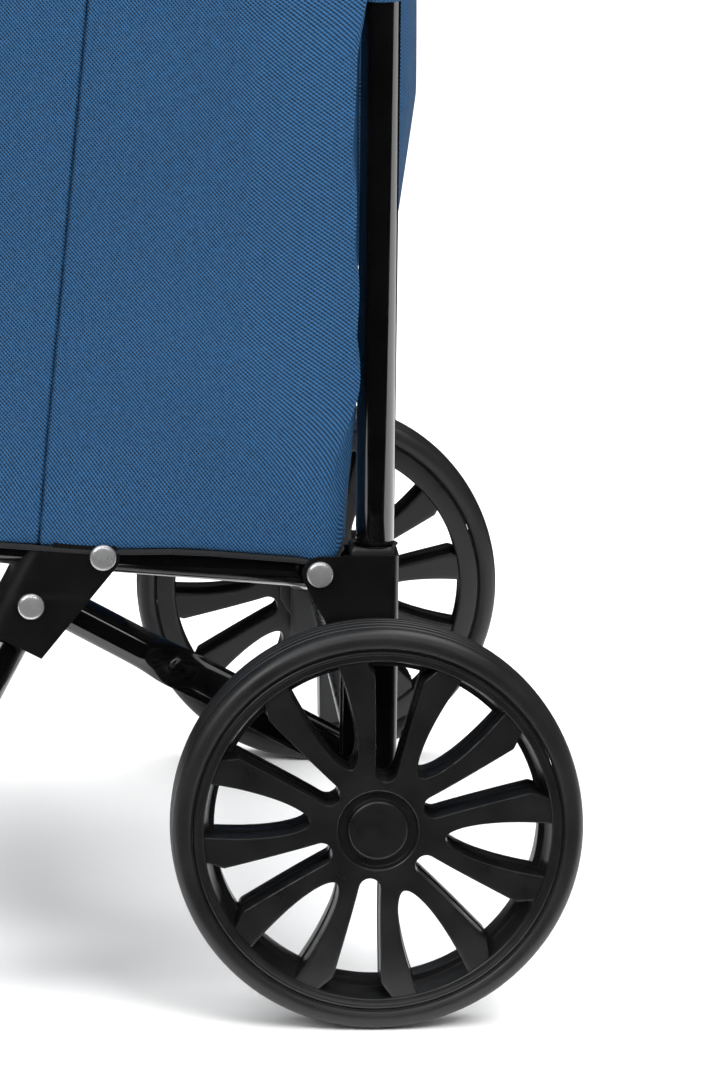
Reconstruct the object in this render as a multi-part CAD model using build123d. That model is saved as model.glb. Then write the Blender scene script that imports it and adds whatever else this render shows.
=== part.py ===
from build123d import *
import math
import os

# Folding two-wheeled shopping trolley, in millimetres.
# X runs across the trolley, its left side is +X. The load faces -Y and the
# user stands at +Y. Z is up, and the floor is Z = 0.

# ---- overall sizes ---------------------------------------------------------
WHEEL_RADIUS = 85.0
TRACK = 440.0               # wheel centre to wheel centre
HANDLE_HEIGHT = 985.0       # floor to the middle of the top bar
UPRIGHT_SPACING = 378.0     # tube centre to tube centre
BAG_HEIGHT = 540.0
BAG_DEPTH_BOTTOM = 252.0
BAG_DEPTH_TOP = 182.0
BAG_WIDTH_BOTTOM = UPRIGHT_SPACING + 22.0
BAG_WIDTH_TOP = UPRIGHT_SPACING + 6.0

# ---- tube and sheet stock --------------------------------------------------
TUBE_RADIUS = 8.0
TUBE_WALL = 1.2
SHEET = 1.5
AXLE_RADIUS = 5.0
RIVET_RADIUS = 3.0
RIVET_HEAD_RADIUS = 5.45
RIVET_HEAD_HEIGHT = 2.6
RIVET_HEAD_RIM = 0.6

# ---- clearances ------------------------------------------------------------
RUNNING_FIT = 0.06          # radial, shaft in a turning piece
SEAT_GAP = 0.03             # radial, pieces pushed together in one body
SIDE_GAP = 0.5              # between pieces that turn past each other
FLANGE_GAP = 1.5            # between a tube and the flanges beside it

# ---- pivots, as (distance ahead of the axle, height) -----------------------
MAIN_PIVOT = (23.1, WHEEL_RADIUS + 100.5)
BRACKET_PIVOT = (112.2, WHEEL_RADIUS + 107.9)
LEG_PIVOT = (141.7, WHEEL_RADIUS + 87.4)
BRACE_PIVOT = (7.5, WHEEL_RADIUS + 15.0)
LEG_LEAN = 27.0             # degrees, foot ahead of the leg's top

# ---- wheels ----------------------------------------------------------------
TYRE_WIDTH = 28.0
TREAD_WIDTH = 19.0
RIM_RADIUS = 76.0
RIM_WIDTH = 26.0
HOOP_FRONT_RADIUS = 71.5    # inside the hoop, at its front face
HOOP_STEP_RADIUS = 68.6     # inside the hoop, at its middle
HOOP_BACK_RADIUS = 66.5     # inside the hoop, behind the step
SPOKE_PAIRS = 6
SLOT_ANGLE = 22.9           # degrees, first slot above the forward direction
WINDOW_REACH = 73.5         # every window runs out into the hoop
SLOT_TIP = 20.6
SLOT_SIDE = ((25.0, 4.4), (64.0, 10.4), (WINDOW_REACH, 18.5))
DROP_TIP = 28.0
DROP_HALF = 11.0
DROP_POWER = 1.8            # of the rounded outline
DROP_STEPS = (0.05, 0.14, 0.28, 0.46, 0.7, 0.88, 1.0)
HUB_RADIUS = 20.0
HUB_FRONT = 11.5            # the spokes' faces are flush with the hub's
HUB_BACK = 15.0
HUB_CAP_RADIUS = 17.3
HUB_CAP_BUTTON = 12.4
HUB_CAP_RIM = 1.6
HUB_CAP_DISH = 1.2
HUB_CAP_RISE = 1.0
HUB_CAP_DEPTH = 5.0
CLIP_ROOM = 2.2             # under the hub cap
BUSH_RADIUS = 8.0
BUSH_FLANGE_RADIUS = 11.0
BUSH_FLANGE = 1.6
CLIP_RADIUS = 9.0
CLIP_THICKNESS = 1.6
WASHER_RADIUS = 11.0

# ---- rear frame ------------------------------------------------------------
UPRIGHT_FOOT = WHEEL_RADIUS - 15.0
HANDLE_BEND = 62.0
GRIP_LENGTH = UPRIGHT_SPACING - 2 * HANDLE_BEND - 24.0
GRIP_RADIUS = 14.5
GRIP_ROUND = 3.5
CHANNEL_DEPTH = 22.5
CHANNEL_TOP = WHEEL_RADIUS + 108.3
CHANNEL_FOOT = WHEEL_RADIUS - 23.0
EAR_RADIUS = 7.3
EAR_DROP = 35.0
COLLAR_HEIGHT = 26.0
COLLAR_PROUD = 3.0
COLLAR_ROUND = 1.2
COLLAR_STEP = 2.0           # cut down in front, under the bag's corded edge
COLLAR_STEP_FROM = 6.0      # ahead of the axle
CROSSBAR_RADIUS = 6.0
LOWER_CROSSBAR_Z = WHEEL_RADIUS + 177.0
UPPER_CROSSBAR_Z = WHEEL_RADIUS + 603.0

# ---- folding platform and stand --------------------------------------------
PLATFORM_LENGTH = 226.0     # main pivot to the middle of the front bar
PLATFORM_BEND = 40.0
TUBE_TAIL = 8.5
SLAT_WIDTH = 18.0
SLAT_THICKNESS = 4.0
SLAT_DISTANCES = (46.0, 160.0)
LEG_TAIL = 7.5
LEG_BEND = 38.0
BRACKET_REACH = 17.8       # below the leg's pivot
BRACKET_RISE = 24.0         # above it, before the platform tube cuts it away
BRACKET_WEB_OFFSET = 3.0
BRACKET_REAR = 6.0          # behind the leg tube
BRACKET_LOBE = 7.0
BRACE_TAIL = 8.5
BRACE_END_RADIUS = 7.0
CRIMP_LENGTH = 96.0
CRIMP_DEPTH = 8.0
CRIMP_DISH = 4.6            # how far out the dish's circle stands
CRIMP_RIDGE = 1.4
SPACER_WALL = 2.4
RIVET_TAIL = 1.2            # what a flattened rivet end stands out
FOOT_SOLE = 4.0
FOOT_LENGTH = 44.0
FOOT_WALL = 2.6
FOOT_FLARE = 2.5
FOOT_CORNER = 4.0
FOOT_INSET = 72.0

# ---- bag -------------------------------------------------------------------
CLOTH = 3.0
BAG_CORNER = 14.0
BAG_CLEAR = 2.2             # above the platform tube
BAG_BACK_GAP = 3.8          # ahead of the upright tube
BOARD_THICKNESS = 3.0
BOARD_MARGIN = 22.0
BOARD_CORNER = 12.0
PIPING_RADIUS = 1.5
PIPING_GAP = 0.2
LID_THICKNESS = 3.0
LID_SKIRT = 34.0
LID_GAP = 1.2
POCKET_WIDTH = UPRIGHT_SPACING - 58.0
POCKET_DEPTH = 24.0
POCKET_BOTTOM_Z = WHEEL_RADIUS + 211.0
POCKET_FULL_Z = WHEEL_RADIUS + 287.0
POCKET_TOP_Z = WHEEL_RADIUS + 515.0
POCKET_SHOULDER = 12.0
LOOP_WALL = 1.8
LOOP_HEIGHT = 40.0
LOOP_HEIGHTS = (WHEEL_RADIUS + 339.0, WHEEL_RADIUS + 535.0)
TAB_WIDTH = 36.0
TAB_OFFSET = UPRIGHT_SPACING / 2 - 79.0
TAB_DROP = 30.0

# ---- worked out ------------------------------------------------------------
UPRIGHT_X = UPRIGHT_SPACING / 2
WHEEL_X = TRACK / 2
CHANNEL_HALF = TUBE_RADIUS + FLANGE_GAP + SHEET
CHANNEL_FRONT = CHANNEL_DEPTH - TUBE_RADIUS - SHEET
PLATFORM_RISE = math.degrees(
    math.atan2(BRACKET_PIVOT[1] - MAIN_PIVOT[1], BRACKET_PIVOT[0] - MAIN_PIVOT[0])
)
BAG_BACK = TUBE_RADIUS + BAG_BACK_GAP
FRONT_REACH = BAG_BACK + BAG_DEPTH_BOTTOM + 2 * PIPING_RADIUS + PIPING_GAP
AXLE_Y = (FRONT_REACH - WHEEL_RADIUS) / 2
BRACE_X = UPRIGHT_X - CHANNEL_HALF - SIDE_GAP - TUBE_RADIUS


def spot(ahead, height, across=0.0):
    """A point, given how far it is ahead of the axle, its height and its X."""
    return Vector(across, AXLE_Y - ahead, height)


def bar_x(radius, x_from, x_to, ahead, height):
    """A round bar along X between two X values, at a place ahead of the axle."""
    middle = spot(ahead, height, (x_from + x_to) / 2)
    return Pos(middle) * Rot(0, 90, 0) * Cylinder(radius, abs(x_to - x_from))


def tube_along(path, radius=TUBE_RADIUS, wall=TUBE_WALL):
    """A hollow round tube along a path of straight runs and tangent arcs."""
    start = Plane(origin=path @ 0, z_dir=path % 0)
    section = start * (Circle(radius) - Circle(radius - wall))
    return sweep(section, path)


def slab(outline, x_from, x_to):
    """A plate cut to a closed outline drawn in the YZ plane, between two X values."""
    face = make_face(outline)
    return Pos(x_from, 0, 0) * extrude(face, x_to - x_from, dir=(1, 0, 0))


def in_platform(along, above, across=0.0):
    """A point measured along the platform from the main pivot and above its tubes."""
    rise = math.radians(PLATFORM_RISE)
    ahead = MAIN_PIVOT[0] + along * math.cos(rise) - above * math.sin(rise)
    height = MAIN_PIVOT[1] + along * math.sin(rise) + above * math.cos(rise)
    return spot(ahead, height, across)


def in_leg(along, ahead_of_tube, across=0.0):
    """A point measured down the stand leg from its pivot and ahead of its tube."""
    lean = math.radians(LEG_LEAN)
    ahead = LEG_PIVOT[0] + along * math.sin(lean) + ahead_of_tube * math.cos(lean)
    height = LEG_PIVOT[1] - along * math.cos(lean) + ahead_of_tube * math.sin(lean)
    return spot(ahead, height, across)


def both_sides(left_piece):
    """The left piece and its mirror image on the right."""
    return left_piece, mirror(left_piece, about=Plane.YZ)


def group(*pieces):
    """Several separate solids as one part."""
    return Compound([solid for piece in pieces for solid in piece.solids()])


# ---- wheels ----------------------------------------------------------------
def wheel_place(x=WHEEL_X):
    """Where a wheel's middle goes, with the wheel's own axis turned to +X."""
    return Pos(spot(0, WHEEL_RADIUS, x)) * Rot(0, 90, 0)


def tyre():
    """A solid tyre with a flat tread, rounded shoulders and a bead on each side."""
    half = TYRE_WIDTH / 2
    tread = TREAD_WIDTH / 2
    seat = RIM_RADIUS + SEAT_GAP
    shoulder = WHEEL_RADIUS - (half - tread)
    outline = (
        Line((seat, -half + 1), (seat, half - 1))
        + Line((seat, half - 1), (shoulder, half))
        + RadiusArc((shoulder, half), (WHEEL_RADIUS, tread), half - tread, short_sagitta=True)
        + Line((WHEEL_RADIUS, tread), (WHEEL_RADIUS, -tread))
        + RadiusArc((WHEEL_RADIUS, -tread), (shoulder, -half), half - tread, short_sagitta=True)
        + Line((shoulder, -half), (seat, -half + 1))
    )
    section = Plane.XZ * make_face(outline)
    return revolve(section, Axis.Z)


def window(tip, upper, lower, first):
    """A spoke window on the local X axis: a round tip, two sides and a straight end."""
    radius, half = first
    outline = upper + ThreePointArc((radius, half), (tip, 0), (radius, -half)) + lower
    outline += Line((WINDOW_REACH, outline_half(upper)), (WINDOW_REACH, -outline_half(upper)))
    return extrude(make_face(outline), RIM_WIDTH, both=True)


def outline_half(side):
    """How far a window's side is from the window's axis at its outer end."""
    return max(abs((side @ 0).Y), abs((side @ 1).Y))


def slot_window():
    """A long slot between two pairs of spokes, which flares where it meets the hoop."""
    mirrored = [(radius, -half) for radius, half in SLOT_SIDE]
    return window(SLOT_TIP, Polyline(*SLOT_SIDE), Polyline(*mirrored), SLOT_SIDE[0])


def drop_window():
    """A teardrop inside one pair of spokes, whose outline is a rounded quarter."""
    span = HOOP_FRONT_RADIUS - DROP_TIP
    side = []
    for share in DROP_STEPS:
        half = DROP_HALF * (1 - (1 - share) ** DROP_POWER) ** (1 / DROP_POWER)
        side.append((DROP_TIP + share * span, half))
    side.append((WINDOW_REACH, DROP_HALF))
    mirrored = [(radius, -half) for radius, half in side]
    return window(DROP_TIP, Spline(*side), Spline(*mirrored), side[0])


def hoop():
    """The rim's hoop, drawn in to a step at its middle."""
    half = RIM_WIDTH / 2
    front = Cone(HOOP_STEP_RADIUS, HOOP_FRONT_RADIUS, half)
    band = Cylinder(RIM_RADIUS, RIM_WIDTH) - Pos(0, 0, half / 2) * front
    return band - Pos(0, 0, -half / 2) * Cylinder(HOOP_BACK_RADIUS, half)


def rim():
    """A one-piece moulded rim: hub, spokes in curved pairs and the tyre's seat."""
    disc = Cylinder((WINDOW_REACH + RIM_RADIUS) / 2, 2 * HUB_FRONT)
    slot, drop = slot_window(), drop_window()
    turn = 360 / SPOKE_PAIRS
    for number in range(SPOKE_PAIRS):
        disc -= Rot(0, 0, number * turn) * slot
        disc -= Rot(0, 0, (number + 0.5) * turn) * drop
    hub = Cylinder(HUB_RADIUS, HUB_FRONT + HUB_BACK)
    wheel = hoop() + disc + Pos(0, 0, (HUB_FRONT - HUB_BACK) / 2) * hub
    wheel -= Cylinder(BUSH_RADIUS + SEAT_GAP, 4 * HUB_BACK)
    seat_height = HUB_CAP_DEPTH + SEAT_GAP
    seat = Cylinder(HUB_CAP_RADIUS + SEAT_GAP, seat_height)
    wheel -= Pos(0, 0, HUB_FRONT - seat_height / 2) * seat
    clip_room = Cylinder(BUSH_FLANGE_RADIUS + 1, 2 * HUB_CAP_DEPTH)
    wheel -= Pos(0, 0, HUB_FRONT - HUB_CAP_DEPTH) * clip_room
    return Rot(0, 0, SLOT_ANGLE) * wheel


def bush():
    """A plastic bearing bush pressed into the hub from inside, with a thrust flange."""
    length = HUB_BACK + HUB_FRONT - 2 * HUB_CAP_DEPTH - SEAT_GAP
    sleeve = Pos(0, 0, -HUB_BACK + length / 2) * Cylinder(BUSH_RADIUS, length)
    flange = Cylinder(BUSH_FLANGE_RADIUS, BUSH_FLANGE)
    sleeve += Pos(0, 0, -HUB_BACK - BUSH_FLANGE / 2) * flange
    return sleeve - Cylinder(AXLE_RADIUS + RUNNING_FIT, 4 * HUB_BACK)


def hub_cap():
    """A dished cap that closes the hub, with a raised button in its middle."""
    face = HUB_FRONT
    body = Pos(0, 0, face - HUB_CAP_DEPTH / 2) * Cylinder(HUB_CAP_RADIUS, HUB_CAP_DEPTH)
    dish = Cylinder(HUB_CAP_RADIUS - HUB_CAP_RIM, 2 * HUB_CAP_DISH)
    dish -= Cylinder(HUB_CAP_BUTTON, 2 * HUB_CAP_DISH)
    body -= Pos(0, 0, face) * dish
    body += Pos(0, 0, face + HUB_CAP_RISE / 2) * Cylinder(HUB_CAP_BUTTON, HUB_CAP_RISE)
    return body - Pos(0, 0, face - HUB_CAP_DEPTH) * Cylinder(CLIP_RADIUS + 1, 2 * CLIP_ROOM)


def axle():
    """The fixed steel axle, through both channels and both wheels."""
    reach = WHEEL_X + HUB_FRONT - HUB_CAP_DEPTH
    return bar_x(AXLE_RADIUS, -reach, reach, 0, WHEEL_RADIUS)


def axle_washers():
    """A washer between each channel and the flange of each wheel's bush."""
    outer = WHEEL_X - HUB_BACK - BUSH_FLANGE - SIDE_GAP
    inner = UPRIGHT_X + CHANNEL_HALF
    ring = bar_x(WASHER_RADIUS, inner, outer, 0, WHEEL_RADIUS)
    ring -= bar_x(AXLE_RADIUS + SEAT_GAP, inner - 1, outer + 1, 0, WHEEL_RADIUS)
    return group(*both_sides(ring))


def axle_clips():
    """A push-on ring at each end of the axle, under the hub cap."""
    outer = WHEEL_X + HUB_FRONT - HUB_CAP_DEPTH - SIDE_GAP
    inner = outer - CLIP_THICKNESS
    ring = bar_x(CLIP_RADIUS, inner, outer, 0, WHEEL_RADIUS)
    ring -= bar_x(AXLE_RADIUS + SEAT_GAP, inner - 1, outer + 1, 0, WHEEL_RADIUS)
    return group(*both_sides(ring))


# ---- rear frame ------------------------------------------------------------
def upright_tube():
    """One tube bent to an upside-down U: both uprights and the handle bar."""
    path = FilletPolyline(
        spot(0, UPRIGHT_FOOT, UPRIGHT_X),
        spot(0, HANDLE_HEIGHT, UPRIGHT_X),
        spot(0, HANDLE_HEIGHT, -UPRIGHT_X),
        spot(0, UPRIGHT_FOOT, -UPRIGHT_X),
        radius=HANDLE_BEND,
    )
    reach = UPRIGHT_X + TUBE_RADIUS + 1
    hole = bar_x(AXLE_RADIUS + SEAT_GAP, -reach, reach, 0, WHEEL_RADIUS)
    inner = UPRIGHT_X - TUBE_RADIUS
    bars = bar_x(CROSSBAR_RADIUS + SEAT_GAP, -inner - 2, inner + 2, 0, LOWER_CROSSBAR_Z)
    bars += bar_x(CROSSBAR_RADIUS + SEAT_GAP, -inner - 2, inner + 2, 0, UPPER_CROSSBAR_Z)
    return tube_along(path) - hole - bars


def crossbar(height):
    """A thinner tube let into the inner walls of the two uprights."""
    reach = UPRIGHT_X - TUBE_RADIUS + TUBE_WALL
    solid = bar_x(CROSSBAR_RADIUS, -reach, reach, 0, height)
    return solid - bar_x(CROSSBAR_RADIUS - TUBE_WALL, -reach - 1, reach + 1, 0, height)


def handle_grip():
    """A soft sleeve on the top bar, fuller in the middle of each hand's place."""
    half = GRIP_LENGTH / 2
    sleeve = bar_x(GRIP_RADIUS, -half, half, 0, HANDLE_HEIGHT)
    sleeve = fillet(sleeve.edges(), GRIP_ROUND)
    return sleeve - bar_x(TUBE_RADIUS + SEAT_GAP, -half - 1, half + 1, 0, HANDLE_HEIGHT)


def channel_outline():
    """The flange's outline: a straight channel with an ear for the main pivot."""
    back = -(CHANNEL_DEPTH - CHANNEL_FRONT)
    ear = MAIN_PIVOT
    low = (CHANNEL_FRONT, ear[1] - EAR_DROP)
    gap = math.dist(low, ear)
    lean = math.atan2(ear[0] - low[0], ear[1] - low[1]) + math.asin(EAR_RADIUS / gap)
    tangent = (ear[0] + EAR_RADIUS * math.cos(lean), ear[1] - EAR_RADIUS * math.sin(lean))
    corner_reach = EAR_RADIUS / math.sqrt(2)
    mid = (ear[0] + corner_reach, ear[1] + corner_reach)
    top = ear[1] + EAR_RADIUS
    corners = [(back, CHANNEL_FOOT), (CHANNEL_FRONT, CHANNEL_FOOT), low, tangent]
    outline = Polyline(*[spot(*corner) for corner in corners])
    outline += ThreePointArc(spot(*tangent), spot(*mid), spot(ear[0], top))
    ends = [(ear[0], top), (CHANNEL_FRONT, CHANNEL_TOP), (back, CHANNEL_TOP)]
    outline += Polyline(*[spot(*end) for end in ends + [(back, CHANNEL_FOOT)]])
    return outline


def axle_channel():
    """A sheet channel round the foot of the upright, open to the front."""
    inner, outer = UPRIGHT_X - CHANNEL_HALF, UPRIGHT_X + CHANNEL_HALF
    body = slab(channel_outline(), inner, outer)
    back, front = spot(-TUBE_RADIUS, 0), spot(BRACKET_PIVOT[0], 0)
    room = Box(2 * (CHANNEL_HALF - SHEET), back.Y - front.Y, 4 * CHANNEL_TOP)
    body -= Pos(UPRIGHT_X, (back.Y + front.Y) / 2, 0) * room
    body -= bar_x(AXLE_RADIUS + SEAT_GAP, inner - 1, outer + 1, 0, WHEEL_RADIUS)
    body -= bar_x(RIVET_RADIUS + SEAT_GAP, inner - 1, outer + 1, *MAIN_PIVOT)
    return body - bar_x(RIVET_RADIUS + SEAT_GAP, inner - 1, UPRIGHT_X - TUBE_RADIUS, *BRACE_PIVOT)


def channel_collar():
    """A moulded collar that fills the channel's mouth round the upright."""
    gap = SEAT_GAP
    width = 2 * (CHANNEL_HALF - SHEET - gap)
    back, front = -TUBE_RADIUS + 2 * gap, BAG_BACK - 2 * SIDE_GAP
    low = CHANNEL_TOP + COLLAR_PROUD - COLLAR_HEIGHT
    middle = spot((back + front) / 2, low + COLLAR_HEIGHT / 2, UPRIGHT_X)
    block = Pos(middle) * Box(width, front - back, COLLAR_HEIGHT)
    block = fillet(block.edges().group_by(Axis.Z)[-1], COLLAR_ROUND)
    step = Box(2 * width, 2 * (front - COLLAR_STEP_FROM), 2 * COLLAR_STEP)
    block -= Pos(spot(front, low + COLLAR_HEIGHT, UPRIGHT_X)) * step
    bore = Pos(spot(0, low, UPRIGHT_X)) * Cylinder(TUBE_RADIUS + gap, 4 * COLLAR_HEIGHT)
    return block - bore


# ---- rivets ----------------------------------------------------------------
def rivet_head(x, ahead, height, outward):
    """A domed rivet head on a face at x, bulging towards outward (+1 or -1)."""
    outline = Line((0, 0), (RIVET_HEAD_RADIUS, 0))
    outline += Line((RIVET_HEAD_RADIUS, 0), (RIVET_HEAD_RADIUS, RIVET_HEAD_RIM))
    outline += TangentArc((0, RIVET_HEAD_HEIGHT), (RIVET_HEAD_RADIUS, RIVET_HEAD_RIM), tangent=(1, 0))
    outline += Line((0, RIVET_HEAD_HEIGHT), (0, 0))
    dome = revolve(Plane.XZ * make_face(outline), Axis.Z)
    return Pos(spot(ahead, height, x)) * Rot(0, 90 * outward, 0) * dome


def rivet(inner, outer, place, head_in=True, head_out=True):
    """A rivet along X through a place, with a domed head at either end."""
    body = bar_x(RIVET_RADIUS, inner, outer, *place)
    if head_out:
        body += rivet_head(outer, *place, 1)
    if head_in:
        body += rivet_head(inner, *place, -1)
    return body


def main_rivets():
    """The rivets that the platform turns on."""
    inner, outer = UPRIGHT_X - CHANNEL_HALF, UPRIGHT_X + CHANNEL_HALF
    return group(*both_sides(rivet(inner, outer, MAIN_PIVOT)))


def bracket_rivets():
    """The rivets that join each leg bracket to the platform tube."""
    inner, outer = UPRIGHT_X - CHANNEL_HALF, UPRIGHT_X + CHANNEL_HALF
    return group(*both_sides(rivet(inner, outer, BRACKET_PIVOT, head_in=False)))


def leg_rivets():
    """The rivets that fix the leg in its brackets, flush on the brace's side."""
    inner, outer = UPRIGHT_X - CHANNEL_HALF, UPRIGHT_X + CHANNEL_HALF
    return group(*both_sides(rivet(inner, outer, LEG_PIVOT, head_in=False)))


def brace_rivets():
    """The rivets that the braces turn on, in the inner wall of each channel."""
    inner = BRACE_X - TUBE_RADIUS
    outer = UPRIGHT_X - CHANNEL_HALF + SHEET
    tail = bar_x(RIVET_RADIUS + 1, outer, outer + RIVET_TAIL, *BRACE_PIVOT)
    return group(*both_sides(rivet(inner, outer, BRACE_PIVOT, head_out=False) + tail))


# ---- folding platform ------------------------------------------------------
def platform_tube():
    """A U-shaped tube, turned on the main rivets, which carries the bag."""
    path = FilletPolyline(
        in_platform(-TUBE_TAIL, 0, UPRIGHT_X),
        in_platform(PLATFORM_LENGTH, 0, UPRIGHT_X),
        in_platform(PLATFORM_LENGTH, 0, -UPRIGHT_X),
        in_platform(-TUBE_TAIL, 0, -UPRIGHT_X),
        radius=PLATFORM_BEND,
    )
    tube = tube_along(path)
    reach = UPRIGHT_X + TUBE_RADIUS + 1
    tube -= bar_x(RIVET_RADIUS + RUNNING_FIT, -reach, reach, *MAIN_PIVOT)
    tube -= bar_x(RIVET_RADIUS + RUNNING_FIT, -reach, reach, *BRACKET_PIVOT)
    return tube


def platform_slats():
    """Flat bars across the platform, under the bag's base."""
    bars = []
    for distance in SLAT_DISTANCES:
        middle = in_platform(distance, 0)
        length = UPRIGHT_SPACING - 2 * TUBE_RADIUS - 2 * SEAT_GAP
        bar = Box(length, SLAT_WIDTH, SLAT_THICKNESS)
        bars.append(Pos(middle) * Rot(-PLATFORM_RISE, 0, 0) * bar)
    return group(*bars)


def base_board():
    """A stiff board in the bottom of the bag, which folds up with the platform."""
    low = TUBE_RADIUS + BAG_CLEAR + CLOTH + SIDE_GAP
    far = BAG_DEPTH_BOTTOM + BAG_BACK - MAIN_PIVOT[0] - BOARD_MARGIN
    near = -MAIN_PIVOT[0] + BAG_BACK + BOARD_MARGIN
    width = UPRIGHT_SPACING - 2 * TUBE_RADIUS - 2 * SIDE_GAP - 2 * FLANGE_GAP
    plate = Box(width, far - near, BOARD_THICKNESS)
    plate = fillet(plate.edges().filter_by(Axis.Z), BOARD_CORNER)
    middle = in_platform((near + far) / 2, low + BOARD_THICKNESS / 2)
    return Pos(middle) * Rot(-PLATFORM_RISE, 0, 0) * plate


# ---- stand -----------------------------------------------------------------
def leg_length():
    """From the leg's pivot down its tube to the middle of the bottom bar."""
    drop = LEG_PIVOT[1] - TUBE_RADIUS - FOOT_SOLE
    return drop / math.cos(math.radians(LEG_LEAN))


def stand_leg():
    """A U-shaped tube: two legs and the bar that joins their feet."""
    length = leg_length()
    path = FilletPolyline(
        in_leg(-LEG_TAIL, 0, UPRIGHT_X),
        in_leg(length, 0, UPRIGHT_X),
        in_leg(length, 0, -UPRIGHT_X),
        in_leg(-LEG_TAIL, 0, -UPRIGHT_X),
        radius=LEG_BEND,
    )
    reach = UPRIGHT_X + TUBE_RADIUS + 1
    return tube_along(path) - bar_x(RIVET_RADIUS + SEAT_GAP, -reach, reach, *LEG_PIVOT)


def leg_bracket():
    """A folded sheet bracket, bent round the leg and cut away round the platform tube."""
    half = CHANNEL_HALF
    web = half + BRACKET_WEB_OFFSET
    rear = TUBE_RADIUS + BRACKET_REAR
    inner, outer = UPRIGHT_X - half, UPRIGHT_X + half
    lobe = spot(*BRACKET_PIVOT)
    foot_front, foot_rear = in_leg(BRACKET_REACH, web), in_leg(BRACKET_REACH, -rear)
    top_front = in_leg(-BRACKET_RISE, web)
    along = (foot_rear - lobe).normalized()
    side = Vector(0, -along.Z, along.Y) * BRACKET_LOBE
    if side.Y < 0:
        side = side * -1
    touch = lobe + side
    crown = lobe + Vector(0, 0, BRACKET_LOBE)
    bulge = lobe + (side + Vector(0, 0, BRACKET_LOBE)).normalized() * BRACKET_LOBE
    high_front = Vector(0, top_front.Y, crown.Z)
    outline = Polyline(foot_front, foot_rear, touch)
    outline += ThreePointArc(touch, bulge, crown)
    outline += Polyline(crown, high_front, top_front, foot_front)
    body = slab(outline, inner, outer)
    leg_axis = Axis(foot_front, top_front - foot_front)
    edges = body.edges().filter_by(leg_axis).sort_by(Axis.Y)
    body = fillet(edges[0:2], half - 1)
    long = 4 * LEG_PIVOT[0]
    behind = BRACKET_PIVOT[0] / 2
    core = Pos(in_leg(0, -behind, UPRIGHT_X)) * Rot(-LEG_LEAN, 0, 0)
    room = Box(2 * (half - SHEET), 2 * (behind + web - half), long)
    body -= core * room
    rounded = Pos(in_leg(0, web - half, UPRIGHT_X)) * Rot(-LEG_LEAN, 0, 0)
    body -= rounded * Cylinder(half - SHEET, long)
    clear = TUBE_RADIUS + FLANGE_GAP
    passage = Pos(in_platform(PLATFORM_LENGTH / 2, 0, UPRIGHT_X)) * Rot(-PLATFORM_RISE, 0, 0)
    body -= passage * Rot(90, 0, 0) * Cylinder(clear - SEAT_GAP, 2 * PLATFORM_LENGTH)
    above = Box(2 * (half - SHEET), 2 * PLATFORM_LENGTH, 8 * TUBE_RADIUS)
    body -= passage * Pos(0, 0, 4 * TUBE_RADIUS) * above
    for place in (BRACKET_PIVOT, LEG_PIVOT):
        body -= bar_x(RIVET_RADIUS + SEAT_GAP, inner - 1, outer + 1, *place)
    return body


def foot_pad():
    """A moulded pad snapped under the stand's bottom bar, with a flat sole."""
    centre = in_leg(leg_length(), 0)
    across = UPRIGHT_X - FOOT_INSET
    radius = TUBE_RADIUS + FOOT_WALL
    collar = Pos(across, centre.Y, centre.Z) * Rot(0, 90, 0) * Cylinder(radius, FOOT_LENGTH)
    sole_width = 2 * (radius + FOOT_FLARE)
    sole = Box(FOOT_LENGTH, sole_width, centre.Z)
    sole = fillet(sole.edges().filter_by(Axis.Z), FOOT_CORNER)
    pad = collar + Pos(across, centre.Y, centre.Z / 2) * sole
    bore = Rot(0, 90, 0) * Cylinder(TUBE_RADIUS + SEAT_GAP, FOOT_LENGTH + 2)
    return pad - Pos(across, centre.Y, centre.Z) * bore


# ---- braces ----------------------------------------------------------------
def brace():
    """A tube from the channel to the leg, crimped to half its depth near the channel."""
    low, high = spot(*BRACE_PIVOT, BRACE_X), spot(*LEG_PIVOT, BRACE_X)
    along = (high - low).normalized()
    length = (high - low).length
    plane = Plane(origin=low, x_dir=(1, 0, 0), z_dir=along)
    tube_length = length + BRACE_TAIL - CRIMP_LENGTH
    full = extrude(Circle(TUBE_RADIUS) - Circle(TUBE_RADIUS - TUBE_WALL), tube_length)
    pressed = Pos(CRIMP_DEPTH, 0) * Rectangle(2 * TUBE_RADIUS, 4 * TUBE_RADIUS)
    dish = Pos(TUBE_RADIUS - CRIMP_DEPTH + CRIMP_DISH, 0) * Circle(TUBE_RADIUS - CRIMP_RIDGE)
    flat_sketch = Circle(TUBE_RADIUS) - pressed - dish
    flat = extrude(flat_sketch, CRIMP_LENGTH)
    stub = Pos(0, 0, -BRACE_END_RADIUS) * extrude(flat_sketch, BRACE_END_RADIUS)
    end = Rot(0, 90, 0) * Cylinder(BRACE_END_RADIUS, 4 * TUBE_RADIUS)
    straight = Box(4 * TUBE_RADIUS, 4 * TUBE_RADIUS, CRIMP_LENGTH)
    keep = Pos(0, 0, CRIMP_LENGTH / 2) * straight + end
    piece = ((flat + stub) & keep) + Pos(0, 0, CRIMP_LENGTH) * full
    across = 8 * TUBE_RADIUS
    piece -= Rot(0, 90, 0) * Cylinder(RIVET_RADIUS + RUNNING_FIT, across)
    piece -= Pos(0, 0, length) * Rot(0, 90, 0) * Cylinder(RIVET_RADIUS + SEAT_GAP, across)
    return plane.location * piece


def brace_spacer():
    """A sleeve on the brace's rivet, between its crimped end and the channel."""
    inner = BRACE_X + TUBE_RADIUS - CRIMP_DEPTH + SIDE_GAP / 2
    outer = UPRIGHT_X - CHANNEL_HALF
    sleeve = bar_x(RIVET_RADIUS + SPACER_WALL, inner, outer, *BRACE_PIVOT)
    return sleeve - bar_x(RIVET_RADIUS + SEAT_GAP, inner - 1, outer + 1, *BRACE_PIVOT)


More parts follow.
